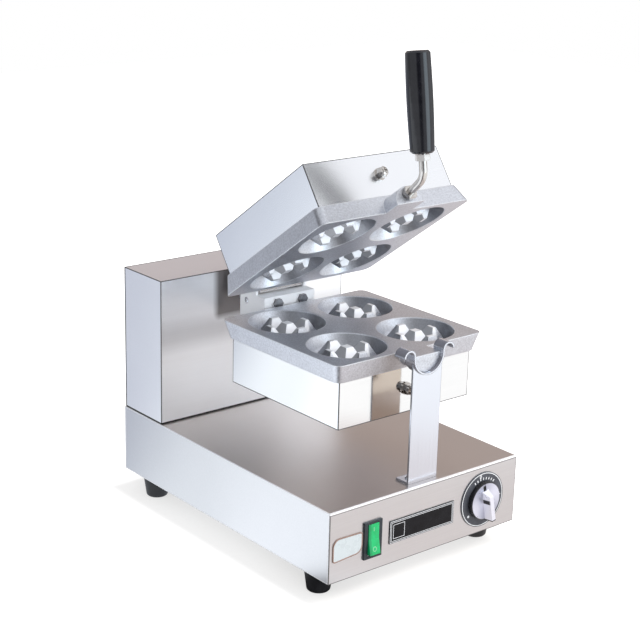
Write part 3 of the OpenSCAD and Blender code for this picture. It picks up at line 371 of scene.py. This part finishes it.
def build_soft_edge():
    """A rounded look for a sharp edge, and where that edge lies"""
    tree, given, made = effect("soft_edge", [("Radius", FLOAT, 0.8 * MM)],
                               [("Normal", VECTOR), ("Edge", FLOAT)])
    bevel = add(tree, "ShaderNodeBevel", {"Radius": given["Radius"]}, samples=BEVEL_SAMPLES)
    rounded = bevel.outputs["Normal"]
    flat = add(tree, "ShaderNodeNewGeometry").outputs["Normal"]
    wire(tree, made["Normal"], rounded)
    wire(tree, made["Edge"], ramp(tree, along(tree, rounded, flat), EDGE_STARTS, EDGE_FULL))
    return tree


GRAIN_RANGE = (0.3, 0.7)


def grain_over_edge(tree, given, made, height, tone, strength, tones, dulls):
    """Makes a group's tone, roughness and normal of a grain, and returns where its edges lie"""
    edge = use(tree, soft_edge, Radius=given["Radius"])
    bump = add(tree, "ShaderNodeBump", {"Strength": strength, "Distance": given["Depth"], "Height": height,
                                        "Normal": edge["Normal"]})
    wire(tree, made["Tone"], ramp(tree, tone, *tones))
    wire(tree, made["Roughness"], calc(tree, "ADD", given["Dull"], ramp(tree, tone, *GRAIN_RANGE, *dulls)))
    wire(tree, made["Normal"], bump.outputs["Normal"])
    return edge["Edge"]


LINES_SHARE, PATCH_SHARE = 0.6, 0.4
# How far a folded corner's normal turns sideways: from, to and blur
FOLD_FACING = (0.2, 0.97, 0.02)


def build_sheet_grain():
    """Brushed sheet: fine lines along one axis over broad soft patches, and where its corners fold"""
    tree, given, made = effect("sheet_grain",
                               [("Lines", VECTOR, (15, 700, 700)), ("Depth", FLOAT, 0.01 * MM),
                                ("Radius", FLOAT, 0.8 * MM), ("Dull", FLOAT, 0.26)],
                               [("Tone", FLOAT), ("Roughness", FLOAT), ("Normal", VECTOR), ("Edge", FLOAT)])
    spot = place(tree)
    drawn = vector_calc(tree, "MULTIPLY", spot, given["Lines"])
    line = noise(tree, drawn, scale=1.0, detail=3.0, rough=0.65)
    patch = noise(tree, spot, scale=14.0, detail=2.0)
    tone = calc(tree, "ADD", calc(tree, "MULTIPLY", line, LINES_SHARE),
                calc(tree, "MULTIPLY", patch, PATCH_SHARE))
    edge = grain_over_edge(tree, given, made, line, tone, strength=0.5, tones=GRAIN_RANGE,
                           dulls=(-0.02, 0.03))
    fold = band(tree, calc(tree, "ABSOLUTE", facing(tree)[0]), *FOLD_FACING)
    wire(tree, made["Edge"], any_of(tree, edge, fold))
    return tree


PITS_SHARE, LUMPS_SHARE = 0.85, 0.15
CAST_RANGE = (0.32, 0.68)


def build_cast_skin():
    """Sand-cast metal: fine pits, soft lumps and where its edges lie"""
    tree, given, made = effect("cast_skin",
                               [("Depth", FLOAT, 0.25 * MM), ("Radius", FLOAT, 1.4 * MM),
                                ("Dull", FLOAT, 0.4)],
                               [("Tone", FLOAT), ("Roughness", FLOAT), ("Normal", VECTOR), ("Edge", FLOAT)])
    spot = place(tree)
    pits = noise(tree, spot, scale=560.0, detail=3.0, rough=0.65)
    lumps = noise(tree, spot, scale=75.0, detail=4.0, rough=0.6)
    tone = calc(tree, "ADD", calc(tree, "MULTIPLY", pits, PITS_SHARE),
                calc(tree, "MULTIPLY", lumps, LUMPS_SHARE))
    edge = grain_over_edge(tree, given, made, tone, tone, strength=0.6, tones=CAST_RANGE,
                           dulls=(-0.07, 0.07))
    wire(tree, made["Edge"], edge)
    return tree


def build_moulded():
    """Moulded or plated surface: faint waves and handling marks"""
    tree, given, made = effect("moulded",
                               [("Depth", FLOAT, 0.03 * MM), ("Radius", FLOAT, 0.5 * MM),
                                ("Dull", FLOAT, 0.3)],
                               [("Tone", FLOAT), ("Roughness", FLOAT), ("Normal", VECTOR)])
    wave = noise(tree, place(tree), scale=120.0, detail=3.0, rough=0.55)
    grain_over_edge(tree, given, made, wave, wave, strength=0.5, tones=GRAIN_RANGE, dulls=(-0.04, 0.05))
    return tree


# Radii and depths, from and to, over which a mask of the bowls changes
BOWL_RIM, BOWL_FLOOR_RIM, PEGS_REACH = (40 * MM, 41 * MM), (31 * MM, 34 * MM), (23 * MM, 24 * MM)
BELOW_FACE, BOWL_FLOOR_DEPTH, PEG_DEPTH = (0.8 * MM, 1.2 * MM), (13.5 * MM, 15 * MM), (14 * MM, 14.6 * MM)
FACING_LEFT = (-0.15, -0.6)
BOWL_FLOOR_SHADE, LEFT_SHADE = 0.7, 0.55


def build_bowl_shade():
    """Peg: 1 on the pegs.  Shade: how dark the bowls' floors are, and what faces left in the bowls"""
    tree, given, made = effect("bowl_shade", [("Turn", FLOAT, 0.0)], [("Peg", FLOAT), ("Shade", FLOAT)])
    x, y, z = split(tree, turned_back(tree, given["Turn"]))
    across = calc(tree, "SUBTRACT", calc(tree, "ABSOLUTE", x), BOWL_ACROSS / 2)
    away = calc(tree, "ABSOLUTE", calc(tree, "SUBTRACT", y, PLATE_MIDDLE))
    away = calc(tree, "SUBTRACT", away, BOWL_AWAY / 2)
    deep = calc(tree, "ABSOLUTE", calc(tree, "SUBTRACT", z, PARTING))
    radius = radius_of(tree, across, away)
    sunk = ramp(tree, deep, *BELOW_FACE)
    bowl = all_of(tree, fall(tree, radius, *BOWL_RIM), sunk)
    floor = all_of(tree, ramp(tree, deep, *BOWL_FLOOR_DEPTH), fall(tree, radius, *BOWL_FLOOR_RIM))
    peg = all_of(tree, fall(tree, radius, *PEGS_REACH), fall(tree, deep, *PEG_DEPTH), sunk)
    left = all_of(tree, ramp(tree, facing(tree)[0], *FACING_LEFT), bowl)
    wire(tree, made["Peg"], peg)
    wire(tree, made["Shade"], any_of(tree, calc(tree, "MULTIPLY", floor, BOWL_FLOOR_SHADE),
                                     calc(tree, "MULTIPLY", left, LEFT_SHADE)))
    return tree


LINE_BLUR = (-0.1 * MM, 0.25 * MM)


def build_box_edge():
    """1 along the edges of a box, turned back about the hinge pin"""
    tree, given, made = effect("box_edge",
                               [("Middle", VECTOR, (0, 0, 0)), ("Half", VECTOR, (1, 1, 1)),
                                ("Width", FLOAT, 1 * MM), ("Turn", FLOAT, 0.0)],
                               [("Line", FLOAT)])
    off = vector_calc(tree, "SUBTRACT", turned_back(tree, given["Turn"]), given["Middle"])
    off = vector_calc(tree, "SUBTRACT", vector_calc(tree, "ABSOLUTE", off), given["Half"])
    x, y, z = split(tree, off)
    most = any_of(tree, x, y, z)
    least = calc(tree, "MINIMUM", calc(tree, "MINIMUM", x, y), z)
    total = calc(tree, "ADD", calc(tree, "ADD", x, y), z)
    second = calc(tree, "SUBTRACT", total, calc(tree, "ADD", most, least))
    wire(tree, made["Line"], ramp(tree, calc(tree, "ADD", second, given["Width"]), *LINE_BLUR))
    return tree


soft_edge = build_soft_edge()
sheet_grain = build_sheet_grain()
cast_skin = build_cast_skin()
moulded = build_moulded()
bowl_shade = build_bowl_shade()
box_edge = build_box_edge()

# Finishes


def new_finish(name, **constants):
    made = bpy.data.materials.new(name)
    made.use_nodes = True
    shader = made.node_tree.nodes["Principled BSDF"]
    for label, value in constants.items():
        wire(made.node_tree, shader.inputs[label.replace("_", " ")], value)
    return made, made.node_tree, shader.inputs


def lay_skin(tree, ends, skin, colour):
    """Gives a material its colour, and the roughness and the normal of its skin"""
    wire(tree, ends["Base Color"], colour)
    wire(tree, ends["Roughness"], skin["Roughness"])
    wire(tree, ends["Normal"], skin["Normal"])


# Sheet metal

LINES_ACROSS, LINES_UP = (12, 650, 650), (650, 650, 12)
# The pale edge and fold colours are painted highlights along rounded edges and the front panel's top fold
EDGE_HIGHLIGHT, FOLD_HIGHLIGHT, SEAM_DARK = (0.98, 0.98, 1.0), (0.98, 0.98, 0.98), (0.015, 0.014, 0.014)
EDGE_METAL = 0.3
# How far a normal turns to the back, upwards or to the front, from and to
FACING_BACK, FACING_UP, FACING_FRONT = (0.4, 0.7), (0.9, 0.99), (0.8, 0.95)
# Heights along the top of the front panel and at the foot of the column, from and to
CREST_FOLD = (BASE_TOP - 1.7 * MM, BASE_TOP - 1.3 * MM)
CREST_SEAM = (BASE_TOP - 2.5 * MM, BASE_TOP - 1.8 * MM)
FOOT_SEAM = (BASE_TOP + 1.3 * MM, BASE_TOP + 1.9 * MM)
# Painted reflection on the column: from, to and blur of a dark patch behind the hinge, and of a dark band
# across below it
REFLECTION_ACROSS, REFLECTION_UP = (-53 * MM, -8 * MM, 4 * MM), (203 * MM, 262 * MM, 5 * MM)
REFLECTION_BAND_UP = (184 * MM, 200 * MM, 13 * MM)
REFLECTION_SHARE, REFLECTION_BAND_SHARE, REFLECTION_BROWN = 0.85, 0.40, (0.13, 0.11, 0.105)


def paint_reflection(tree, body):
    """Painted reflection on what faces the front, a dark brown patch behind the hinge and a band below it,
    and a dark seam at the foot
    """
    across, _, up = split(tree, place(tree))
    patch = all_of(tree, band(tree, across, *REFLECTION_ACROSS), band(tree, up, *REFLECTION_UP), REFLECTION_SHARE)
    haze = all_of(tree, band(tree, up, *REFLECTION_BAND_UP), REFLECTION_BAND_SHARE)
    front = ramp(tree, calc(tree, "MULTIPLY", facing(tree)[1], -1.0), *FACING_FRONT)
    body = blend_colour(tree, all_of(tree, any_of(tree, patch, haze), front), body, REFLECTION_BROWN)
    return blend_colour(tree, fall(tree, up, *FOOT_SEAM), body, SEAM_DARK)


def sheet(name, dark, light, lines=LINES_ACROSS, dull=0.26, radius=0.8 * MM, depth=0.01 * MM, metal=1.0,
          edge_colour=EDGE_HIGHLIGHT, behind=None, top=None, box=None, line=0.9 * MM, turn=0.0, crest=False,
          column=False):
    """Brushed sheet.  behind and top are colours painted on its back and top faces: behind a tan whose
    reflection shows as a band in the lower housing, top a painted shade.  box is a node whose box edges
    are drawn, line is how wide, and turn is how far the open lid has turned it.  crest adds the fold, with
    a painted highlight, and the seam along the front panel's top, column the painted reflection and the
    seam of the column"""
    made, tree, ends = new_finish(name)
    skin = use(tree, sheet_grain, Lines=lines, Dull=dull, Radius=radius, Depth=depth)
    body, edge = blend_colour(tree, skin["Tone"], dark, light), skin["Edge"]
    if behind:
        # Painted reflection: the back faces take a tan, so that their reflection shows a tan band
        body = blend_colour(tree, ramp(tree, facing(tree)[1], *FACING_BACK), body, behind)
    if top:
        # Painted shade: faces turned upwards take the darker top colour
        body = blend_colour(tree, ramp(tree, facing(tree)[2], *FACING_UP), body, top)
    if box:
        middle, half = middle_of(box, turn)
        folds = use(tree, box_edge, Middle=middle, Half=half, Width=line, Turn=turn)
        edge = any_of(tree, edge, folds["Line"])
    if crest:
        _, _, height = split(tree, place(tree))
        fold = ramp(tree, height, *CREST_FOLD)
        edge = any_of(tree, edge, fold, band(tree, height, *CREST_SEAM))
        # Painted highlight along the fold at the panel's top
        edge_colour = blend_colour(tree, fold, edge_colour, FOLD_HIGHLIGHT)
    # Edges take the edge colour: pale ones are painted highlights, dark ones dark lines along the edges
    body = blend_colour(tree, edge, body, edge_colour)
    wire(tree, ends["Metallic"], ramp(tree, edge, 0.0, 1.0, metal, EDGE_METAL * metal))
    # The column takes the painted reflection and the seam at its foot
    lay_skin(tree, ends, skin, paint_reflection(tree, body) if column else body)
    return made


# Castings and mouldings

CAST_DARK, CAST_LIGHT, CAST_EDGE_HIGHLIGHT = (0.58, 0.59, 0.63), (0.84, 0.86, 0.91), (0.97, 0.98, 1.0)
CAST_DULL, PEG_METAL = 0.40, 0.45
PEG_HIGHLIGHT, BOWL_DARK = (0.84, 0.85, 0.88), (0.10, 0.10, 0.11)


def casting(name, opened=0.0):
    """Sand-cast plate, opened by an angle about the hinge pin, with painted shade in the bowls and pegs
    painted pale as a painted highlight
    """
    made, tree, ends = new_finish(name)
    skin = use(tree, cast_skin, Dull=CAST_DULL)
    bowl = use(tree, bowl_shade, Turn=opened)
    body = blend_colour(tree, skin["Tone"], CAST_DARK, CAST_LIGHT)
    # Painted highlight along the cast edges
    body = blend_colour(tree, skin["Edge"], body, CAST_EDGE_HIGHLIGHT)
    # Painted highlight: the pegs are paler and less metallic
    body = blend_colour(tree, bowl["Peg"], body, PEG_HIGHLIGHT)
    wire(tree, ends["Metallic"], ramp(tree, bowl["Peg"], 0.0, 1.0, 1.0, PEG_METAL))
    # Painted shade on the bowls' floors and on their faces turned left
    lay_skin(tree, ends, skin, blend_colour(tree, bowl["Shade"], body, BOWL_DARK))
    return made


def plain_skin(name, dark, light, dull, metal=0.0, depth=0.03 * MM, **constants):
    made, tree, ends = new_finish(name, Metallic=metal, **constants)
    skin = use(tree, moulded, Dull=dull, Depth=depth)
    lay_skin(tree, ends, skin, blend_colour(tree, skin["Tone"], dark, light))
    return made


# Dial: a ring, ticks over a part of the turn, and three small marks

DIAL_RING, DIAL_TICKS = (27.9 * MM, 28.7 * MM), (21.4 * MM, 24.0 * MM)
# A tick fades between these turns from its middle, in radians
TICK_STEP, TICK_FADE = math.radians(10), (0.022, 0.032)
TICKS_TURN, TICKS_BLUR = (math.radians(-32), math.radians(42)), 0.01
OVAL_X, OVAL_Z, OVAL_NARROW, OVAL_RING = -4.0 * MM, 25.6 * MM, 1.3, (0.9 * MM, 1.9 * MM)
DROP_X, DROP_Z, DROP_EDGE = -19.0 * MM, -14.5 * MM, (1.3 * MM, 1.6 * MM)
SIDE_TICK = (22.8 * MM, 25.8 * MM, -0.4 * MM, 0.4 * MM)
DIAL_DARK, DIAL_LIGHT, DIAL_INK = (0.045, 0.048, 0.058), (0.07, 0.074, 0.088), (0.80, 0.80, 0.80)


def dial_print():
    made, tree, ends = new_finish("dial_print")
    skin = use(tree, moulded, Dull=0.38)
    across, _, up = from_middle(tree, middle_of("dial_plate")[0])
    out = radius_of(tree, across, up)
    turn = calc(tree, "ARCTAN2", across, up)
    phase = calc(tree, "PINGPONG", turn, TICK_STEP / 2)
    ticks = all_of(tree, fall(tree, phase, *TICK_FADE), band(tree, out, *DIAL_TICKS),
                   band(tree, turn, *TICKS_TURN, TICKS_BLUR))
    beside = calc(tree, "MULTIPLY", calc(tree, "SUBTRACT", across, OVAL_X), OVAL_NARROW)
    oval = band(tree, radius_of(tree, beside, calc(tree, "SUBTRACT", up, OVAL_Z)), *OVAL_RING)
    drop = radius_of(tree, calc(tree, "SUBTRACT", across, DROP_X), calc(tree, "SUBTRACT", up, DROP_Z))
    marks = any_of(tree, band(tree, out, *DIAL_RING), ticks, oval, fall(tree, drop, *DROP_EDGE),
                   box_mask(tree, across, up, *SIDE_TICK))
    body = blend_colour(tree, skin["Tone"], DIAL_DARK, DIAL_LIGHT)
    lay_skin(tree, ends, skin, blend_colour(tree, marks, body, DIAL_INK))
    return made


# Knob: a turned face with a painted sheen in a black wall, crossed by a bar with a window; the bar is
# painted lighter as a painted highlight, with a painted shadow on its flank

KNOB_SKIRT_H, KNOB_H = 5 * MM, 14 * MM
KNOB_WALL_IN, BAR_RISE = (1.3 * MM, 0.9 * MM), (0.6 * MM, 0.3 * MM)
BAR_LEAN = math.radians(11)
# Dark marks on the leaning bar, a window and a painted shadow on its flank: left, right, low and high
BAR_WINDOW = (-1.9 * MM, 1.9 * MM, 12.2 * MM, 17.0 * MM)
BAR_SHADOW = (-6.0 * MM, -2.6 * MM, -0.5 * MM, 4.0 * MM)
# Turned rings: radians for each metre of radius, and how much they darken
RINGS_RATE, RINGS_SHARE = 9000.0, 0.18
# A painted sheen: two bright fans across the turned face
SHEEN_FANS, SHEEN_TURN = 2.0, -0.6
KNOB_DARK, KNOB_LIGHT, KNOB_RINGS = (0.42, 0.43, 0.52), (0.80, 0.80, 0.90), (0.30, 0.30, 0.36)
BAR_HIGHLIGHT, KNOB_BLACK, KNOB_METAL = (0.84, 0.84, 0.92), (0.008, 0.008, 0.010), 0.55


def knob_face():
    made, tree, ends = new_finish("knob_plastic", Specular_IOR_Level=0.5)
    skin = use(tree, moulded, Dull=0.30, Radius=0.8 * MM)
    middle, half = middle_of("thermostat_knob")
    across, depth, up = from_middle(tree, middle)
    out = radius_of(tree, across, up)
    rings = calc(tree, "SINE", calc(tree, "MULTIPLY", out, RINGS_RATE))
    fans = calc(tree, "MULTIPLY", calc(tree, "ARCTAN2", across, up), SHEEN_FANS)
    # Painted sheen over the face
    sheen = calc(tree, "SINE", calc(tree, "ADD", fans, SHEEN_TURN))
    face = blend_colour(tree, ramp(tree, sheen, -1.0, 1.0), KNOB_DARK, KNOB_LIGHT)
    face = blend_colour(tree, ramp(tree, rings, -1.0, 1.0, 0.0, RINGS_SHARE), face, KNOB_RINGS)
    cross = calc(tree, "ADD", calc(tree, "MULTIPLY", across, math.cos(BAR_LEAN)),
                 calc(tree, "MULTIPLY", up, math.sin(BAR_LEAN)))
    away = calc(tree, "SUBTRACT", calc(tree, "MULTIPLY", up, math.cos(BAR_LEAN)),
                calc(tree, "MULTIPLY", across, math.sin(BAR_LEAN)))
    face_y = -half[1] + KNOB_H - KNOB_SKIRT_H
    on_bar = fall(tree, depth, face_y - BAR_RISE[0], face_y - BAR_RISE[1])
    # Painted highlight: the bar is lighter than the face
    face = blend_colour(tree, on_bar, face, BAR_HIGHLIGHT)
    # Dark: the black wall, the window, and a painted shadow on the bar's flank
    dark = any_of(tree, ramp(tree, out, half[0] - KNOB_WALL_IN[0], half[0] - KNOB_WALL_IN[1]),
                  box_mask(tree, cross, away, *BAR_WINDOW),
                  all_of(tree, on_bar, box_mask(tree, cross, away, *BAR_SHADOW)))
    wire(tree, ends["Metallic"], calc(tree, "MULTIPLY", calc(tree, "SUBTRACT", 1.0, dark), KNOB_METAL))
    lay_skin(tree, ends, skin, blend_colour(tree, dark, face, KNOB_BLACK))
    return made


# Nameplate: a double border and a square field

BORDER_OUTER, BORDER_INNER, FIELD_LINE = (0.5 * MM, 1.1 * MM), (2.0 * MM, 2.5 * MM), (7.0 * MM, 7.5 * MM)
TAG_DARK, TAG_LIGHT, TAG_LINES = (0.003, 0.003, 0.004), (0.007, 0.007, 0.009), (0.80, 0.81, 0.83)
TAG_METAL = 0.3


def tag_print():
    made, tree, ends = new_finish("tag_print", Specular_IOR_Level=0.2)
    skin = use(tree, moulded, Dull=0.24)
    middle, half = middle_of("nameplate")
    across, _, up = from_middle(tree, middle)
    from_side = calc(tree, "SUBTRACT", half[0], calc(tree, "ABSOLUTE", across))
    from_top = calc(tree, "SUBTRACT", half[2], calc(tree, "ABSOLUTE", up))
    inward = calc(tree, "MINIMUM", from_side, from_top)
    beside_field = calc(tree, "SUBTRACT", across, half[2] - half[0])
    field = any_of(tree, calc(tree, "ABSOLUTE", beside_field), calc(tree, "ABSOLUTE", up))
    lines = any_of(tree, band(tree, inward, *BORDER_OUTER), band(tree, inward, *BORDER_INNER),
                   band(tree, field, *FIELD_LINE))
    body = blend_colour(tree, skin["Tone"], TAG_DARK, TAG_LIGHT)
    wire(tree, ends["Metallic"], calc(tree, "MULTIPLY", lines, TAG_METAL))
    lay_skin(tree, ends, skin, blend_colour(tree, lines, body, TAG_LINES))
    return made


# Rocker: a bar over a ring, and painted shade on its left side

ROCKER_BAR = (-0.5 * MM, 0.5 * MM, 8.0 * MM, 12.0 * MM)
ROCKER_RING_Z, ROCKER_RING = -10.2 * MM, (1.7 * MM, 2.5 * MM)
# Where the painted shade on the left side starts and ends, as shares of the half width
ROCKER_SHADE_FROM, ROCKER_SHADE_TO = -0.6, -0.35
ROCKER_DARK, ROCKER_LIGHT, ROCKER_SHADE = (0.0, 0.36, 0.10), (0.0, 0.46, 0.14), (0.0, 0.16, 0.06)
ROCKER_INK, INK_SHARE, SHADE_SHARE = (0.75, 0.82, 0.78), 0.25, 0.6


def rocker_green():
    made, tree, ends = new_finish("rocker_plastic", Coat_Weight=0.3, Coat_Roughness=0.1)
    skin = use(tree, moulded, Dull=0.22)
    middle, half = middle_of("switch_rocker")
    across, _, up = from_middle(tree, middle)
    ring = band(tree, radius_of(tree, across, calc(tree, "SUBTRACT", up, ROCKER_RING_Z)), *ROCKER_RING)
    marks = any_of(tree, box_mask(tree, across, up, *ROCKER_BAR), ring)
    side = fall(tree, across, ROCKER_SHADE_FROM * half[0], ROCKER_SHADE_TO * half[0])
    body = blend_colour(tree, skin["Tone"], ROCKER_DARK, ROCKER_LIGHT)
    # Painted shade darkens the left side of the rocker
    body = blend_colour(tree, calc(tree, "MULTIPLY", side, SHADE_SHARE), body, ROCKER_SHADE)
    body = blend_colour(tree, calc(tree, "MULTIPLY", marks, INK_SHARE), body, ROCKER_INK)
    lay_skin(tree, ends, skin, body)
    return made


# What each piece is finished in

finish = {
    "box": sheet("base_sheet", dark=(0.72, 0.72, 0.73), light=(0.78, 0.78, 0.79), dull=0.34,
                 radius=1.2 * MM, depth=0.004 * MM, top=(0.65, 0.59, 0.56), box="base_shell",
                 line=1.1 * MM),
    "front": sheet("front_sheet", dark=(0.74, 0.73, 0.73), light=(0.79, 0.78, 0.78), dull=0.32,
                   radius=1.2 * MM, depth=0.004 * MM, edge_colour=(0.16, 0.15, 0.15), box="front_panel",
                   line=0.8 * MM, crest=True),
    "column": sheet("column_sheet", dark=(0.94, 0.94, 0.96), light=(0.98, 0.98, 1.0), dull=0.30,
                    radius=1.1 * MM, depth=0.002 * MM, metal=0.85, edge_colour=(0.08, 0.08, 0.085),
                    top=(0.80, 0.79, 0.83), box="column_shell", column=True),
    "housing": sheet("housing_sheet", dark=(0.88, 0.88, 0.88), light=(0.93, 0.93, 0.93), dull=0.08,
                     radius=1.4 * MM, depth=0.002 * MM, edge_colour=(0.07, 0.07, 0.075),
                     box="lower_housing"),
    "lid_housing": sheet("lid_housing_sheet", dark=(0.89, 0.90, 0.92), light=(0.92, 0.93, 0.95), dull=0.25,
                         radius=1.4 * MM, depth=0.002 * MM, edge_colour=(0.07, 0.07, 0.075),
                         box="upper_housing", turn=LID_OPEN),
    "bracket": sheet("bracket_sheet", dark=(0.93, 0.95, 0.97), light=(0.97, 0.98, 1.0), dull=0.50,
                     metal=0.15),
    "lip": sheet("lip_sheet", dark=(0.44, 0.39, 0.36), light=(0.54, 0.49, 0.46), dull=0.34, metal=0.3),
    "strap": sheet("strap_sheet", dark=(0.80, 0.83, 0.90), light=(0.84, 0.87, 0.94), lines=LINES_UP,
                   dull=0.24, radius=0.9 * MM, depth=0.002 * MM, edge_colour=(0.22, 0.22, 0.25),
                   behind=(0.78, 0.68, 0.59)),
    "inner_sheet": sheet("inner_sheet", dark=(0.42, 0.43, 0.44), light=(0.60, 0.61, 0.62), dull=0.40),
    "cast_plate": casting("cast_plate"),
    "cast_lid_plate": casting("cast_lid_plate", opened=LID_OPEN),
    "knob_plastic": knob_face(),
    "dial_print": dial_print(),
    "tag_print": tag_print(),
    "rocker_plastic": rocker_green()}
plain_skins = {
    "nickel": dict(dark=(0.58, 0.55, 0.52), light=(0.74, 0.71, 0.68), dull=0.15, metal=1.0),
    "zinc": dict(dark=(0.62, 0.63, 0.66), light=(0.76, 0.77, 0.80), dull=0.24, metal=1.0),
    "dark_steel": dict(dark=(0.18, 0.18, 0.19), light=(0.34, 0.34, 0.35), dull=0.34, metal=1.0),
    "brass": dict(dark=(0.62, 0.46, 0.20), light=(0.76, 0.60, 0.32), dull=0.28, metal=1.0),
    "foot_rubber": dict(dark=(0.006, 0.006, 0.007), light=(0.016, 0.016, 0.018), dull=0.42, depth=0.1 * MM),
    "grip_plastic": dict(dark=(0.004, 0.004, 0.006), light=(0.008, 0.008, 0.011), dull=0.10,
                         Specular_IOR_Level=0.6),
    "badge_plastic": dict(dark=(0.52, 0.56, 0.57), light=(0.55, 0.59, 0.60), dull=0.28),
    "badge_rim": dict(dark=(0.24, 0.15, 0.12), light=(0.32, 0.21, 0.17), dull=0.30),
    "switch_plastic": dict(dark=(0.012, 0.018, 0.022), light=(0.022, 0.030, 0.036), dull=0.34),
    "pale_plastic": dict(dark=(0.78, 0.76, 0.68), light=(0.88, 0.86, 0.79), dull=0.48),
    "black_plastic": dict(dark=(0.012, 0.012, 0.012), light=(0.026, 0.026, 0.026), dull=0.46),
    "wool": dict(dark=(0.66, 0.61, 0.46), light=(0.86, 0.82, 0.70), dull=0.88, depth=1 * MM)}
for name, looks in plain_skins.items():
    finish[name] = plain_skin(name, **looks)
own_finish = {
    "base_shell": "box", "front_panel": "front", "rear_panel": "box",
    "column_shell": "column", "column_rear_cover": "column",
    "support_post": "strap", "cradle": "strap",
    "lower_housing": "housing", "upper_housing": "lid_housing", "upper_plate": "cast_lid_plate",
    "lid_hinge": "bracket", "hinge_bracket": "bracket", "hinge_bracket_bolts": "dark_steel"}
slot_of = {s["node"]: s["material_slot"] for s in frame["record"]["subparts"]}
for name, item in cad.items():
    item.data.materials[0] = finish[own_finish.get(name, slot_of[name])]

# New pieces


def new_piece(name, work, *finishes):
    """An object of a finished bmesh"""
    mesh = bpy.data.meshes.new(name)
    work.to_mesh(mesh)
    work.free()
    for made in finishes:
        mesh.materials.append(made)
    piece = bpy.data.objects.new(name, mesh)
    scene.collection.objects.link(piece)
    return piece


# Badge: its front is set in from a brown rim

MERGE_DISTANCE = 0.01 * MM
RIM_W, RIM_STEP = 1.1 * MM, 0.15 * MM
FACE_SLOT, RIM_SLOT = 0, 1


def rim_badge():
    work = bmesh.new()
    work.from_mesh(cad["badge"].data)
    bmesh.ops.remove_doubles(work, verts=work.verts, dist=MERGE_DISTANCE)
    bmesh.ops.dissolve_limit(work, angle_limit=math.radians(1), verts=work.verts, edges=work.edges)
    front = min(work.faces, key=lambda f: f.calc_center_median().y)
    bmesh.ops.inset_individual(work, faces=[front], thickness=RIM_W)
    bmesh.ops.inset_individual(work, faces=[front], thickness=RIM_STEP)
    bmesh.ops.translate(work, vec=(0, RIM_STEP, 0), verts=front.verts)
    for face in work.faces:
        face.material_index = FACE_SLOT if face == front else RIM_SLOT
    bmesh.ops.recalc_face_normals(work, faces=work.faces)
    piece = new_piece("badge_face", work, finish["badge_plastic"], finish["badge_rim"])
    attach(piece, "base")
    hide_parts("badge")


rim_badge()

# Lip across the lid's lug, under its web: its place is from the pin, with the lid shut

LIP_HALF_W = 27.8 * MM
LIP_LOW, LIP_TOP = -16.4 * MM, -13.8 * MM
LIP_FRONT, LIP_BACK = -3.0 * MM, -0.6 * MM
LIP_ROUND = 0.5 * MM


def fold_lip():
    work = bmesh.new()
    bmesh.ops.create_grid(work, x_segments=1, y_segments=1, size=0.5)
    bmesh.ops.scale(work, vec=(2 * LIP_HALF_W, LIP_BACK - LIP_FRONT, 1), verts=work.verts)
    raised = bmesh.ops.extrude_face_region(work, geom=work.faces[:])
    moved = [v for v in raised["geom"] if isinstance(v, bmesh.types.BMVert)]
    bmesh.ops.translate(work, vec=(0, 0, LIP_TOP - LIP_LOW), verts=moved)
    bmesh.ops.translate(work, vec=(0, (LIP_FRONT + LIP_BACK) / 2, LIP_LOW), verts=work.verts)
    bmesh.ops.recalc_face_normals(work, faces=work.faces)
    bmesh.ops.bevel(work, geom=work.edges[:], offset=LIP_ROUND, segments=2, profile=0.5, affect="EDGES",
                    material=-1)
    bmesh.ops.rotate(work, cent=(0, 0, 0), matrix=Matrix.Rotation(-LID_OPEN, 3, "X"), verts=work.verts)
    bmesh.ops.translate(work, vec=(0, PIN_BACK, PIN_HEIGHT), verts=work.verts)
    piece = new_piece("lug_lip", work, finish["lip"])
    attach(piece, "lid")


fold_lip()
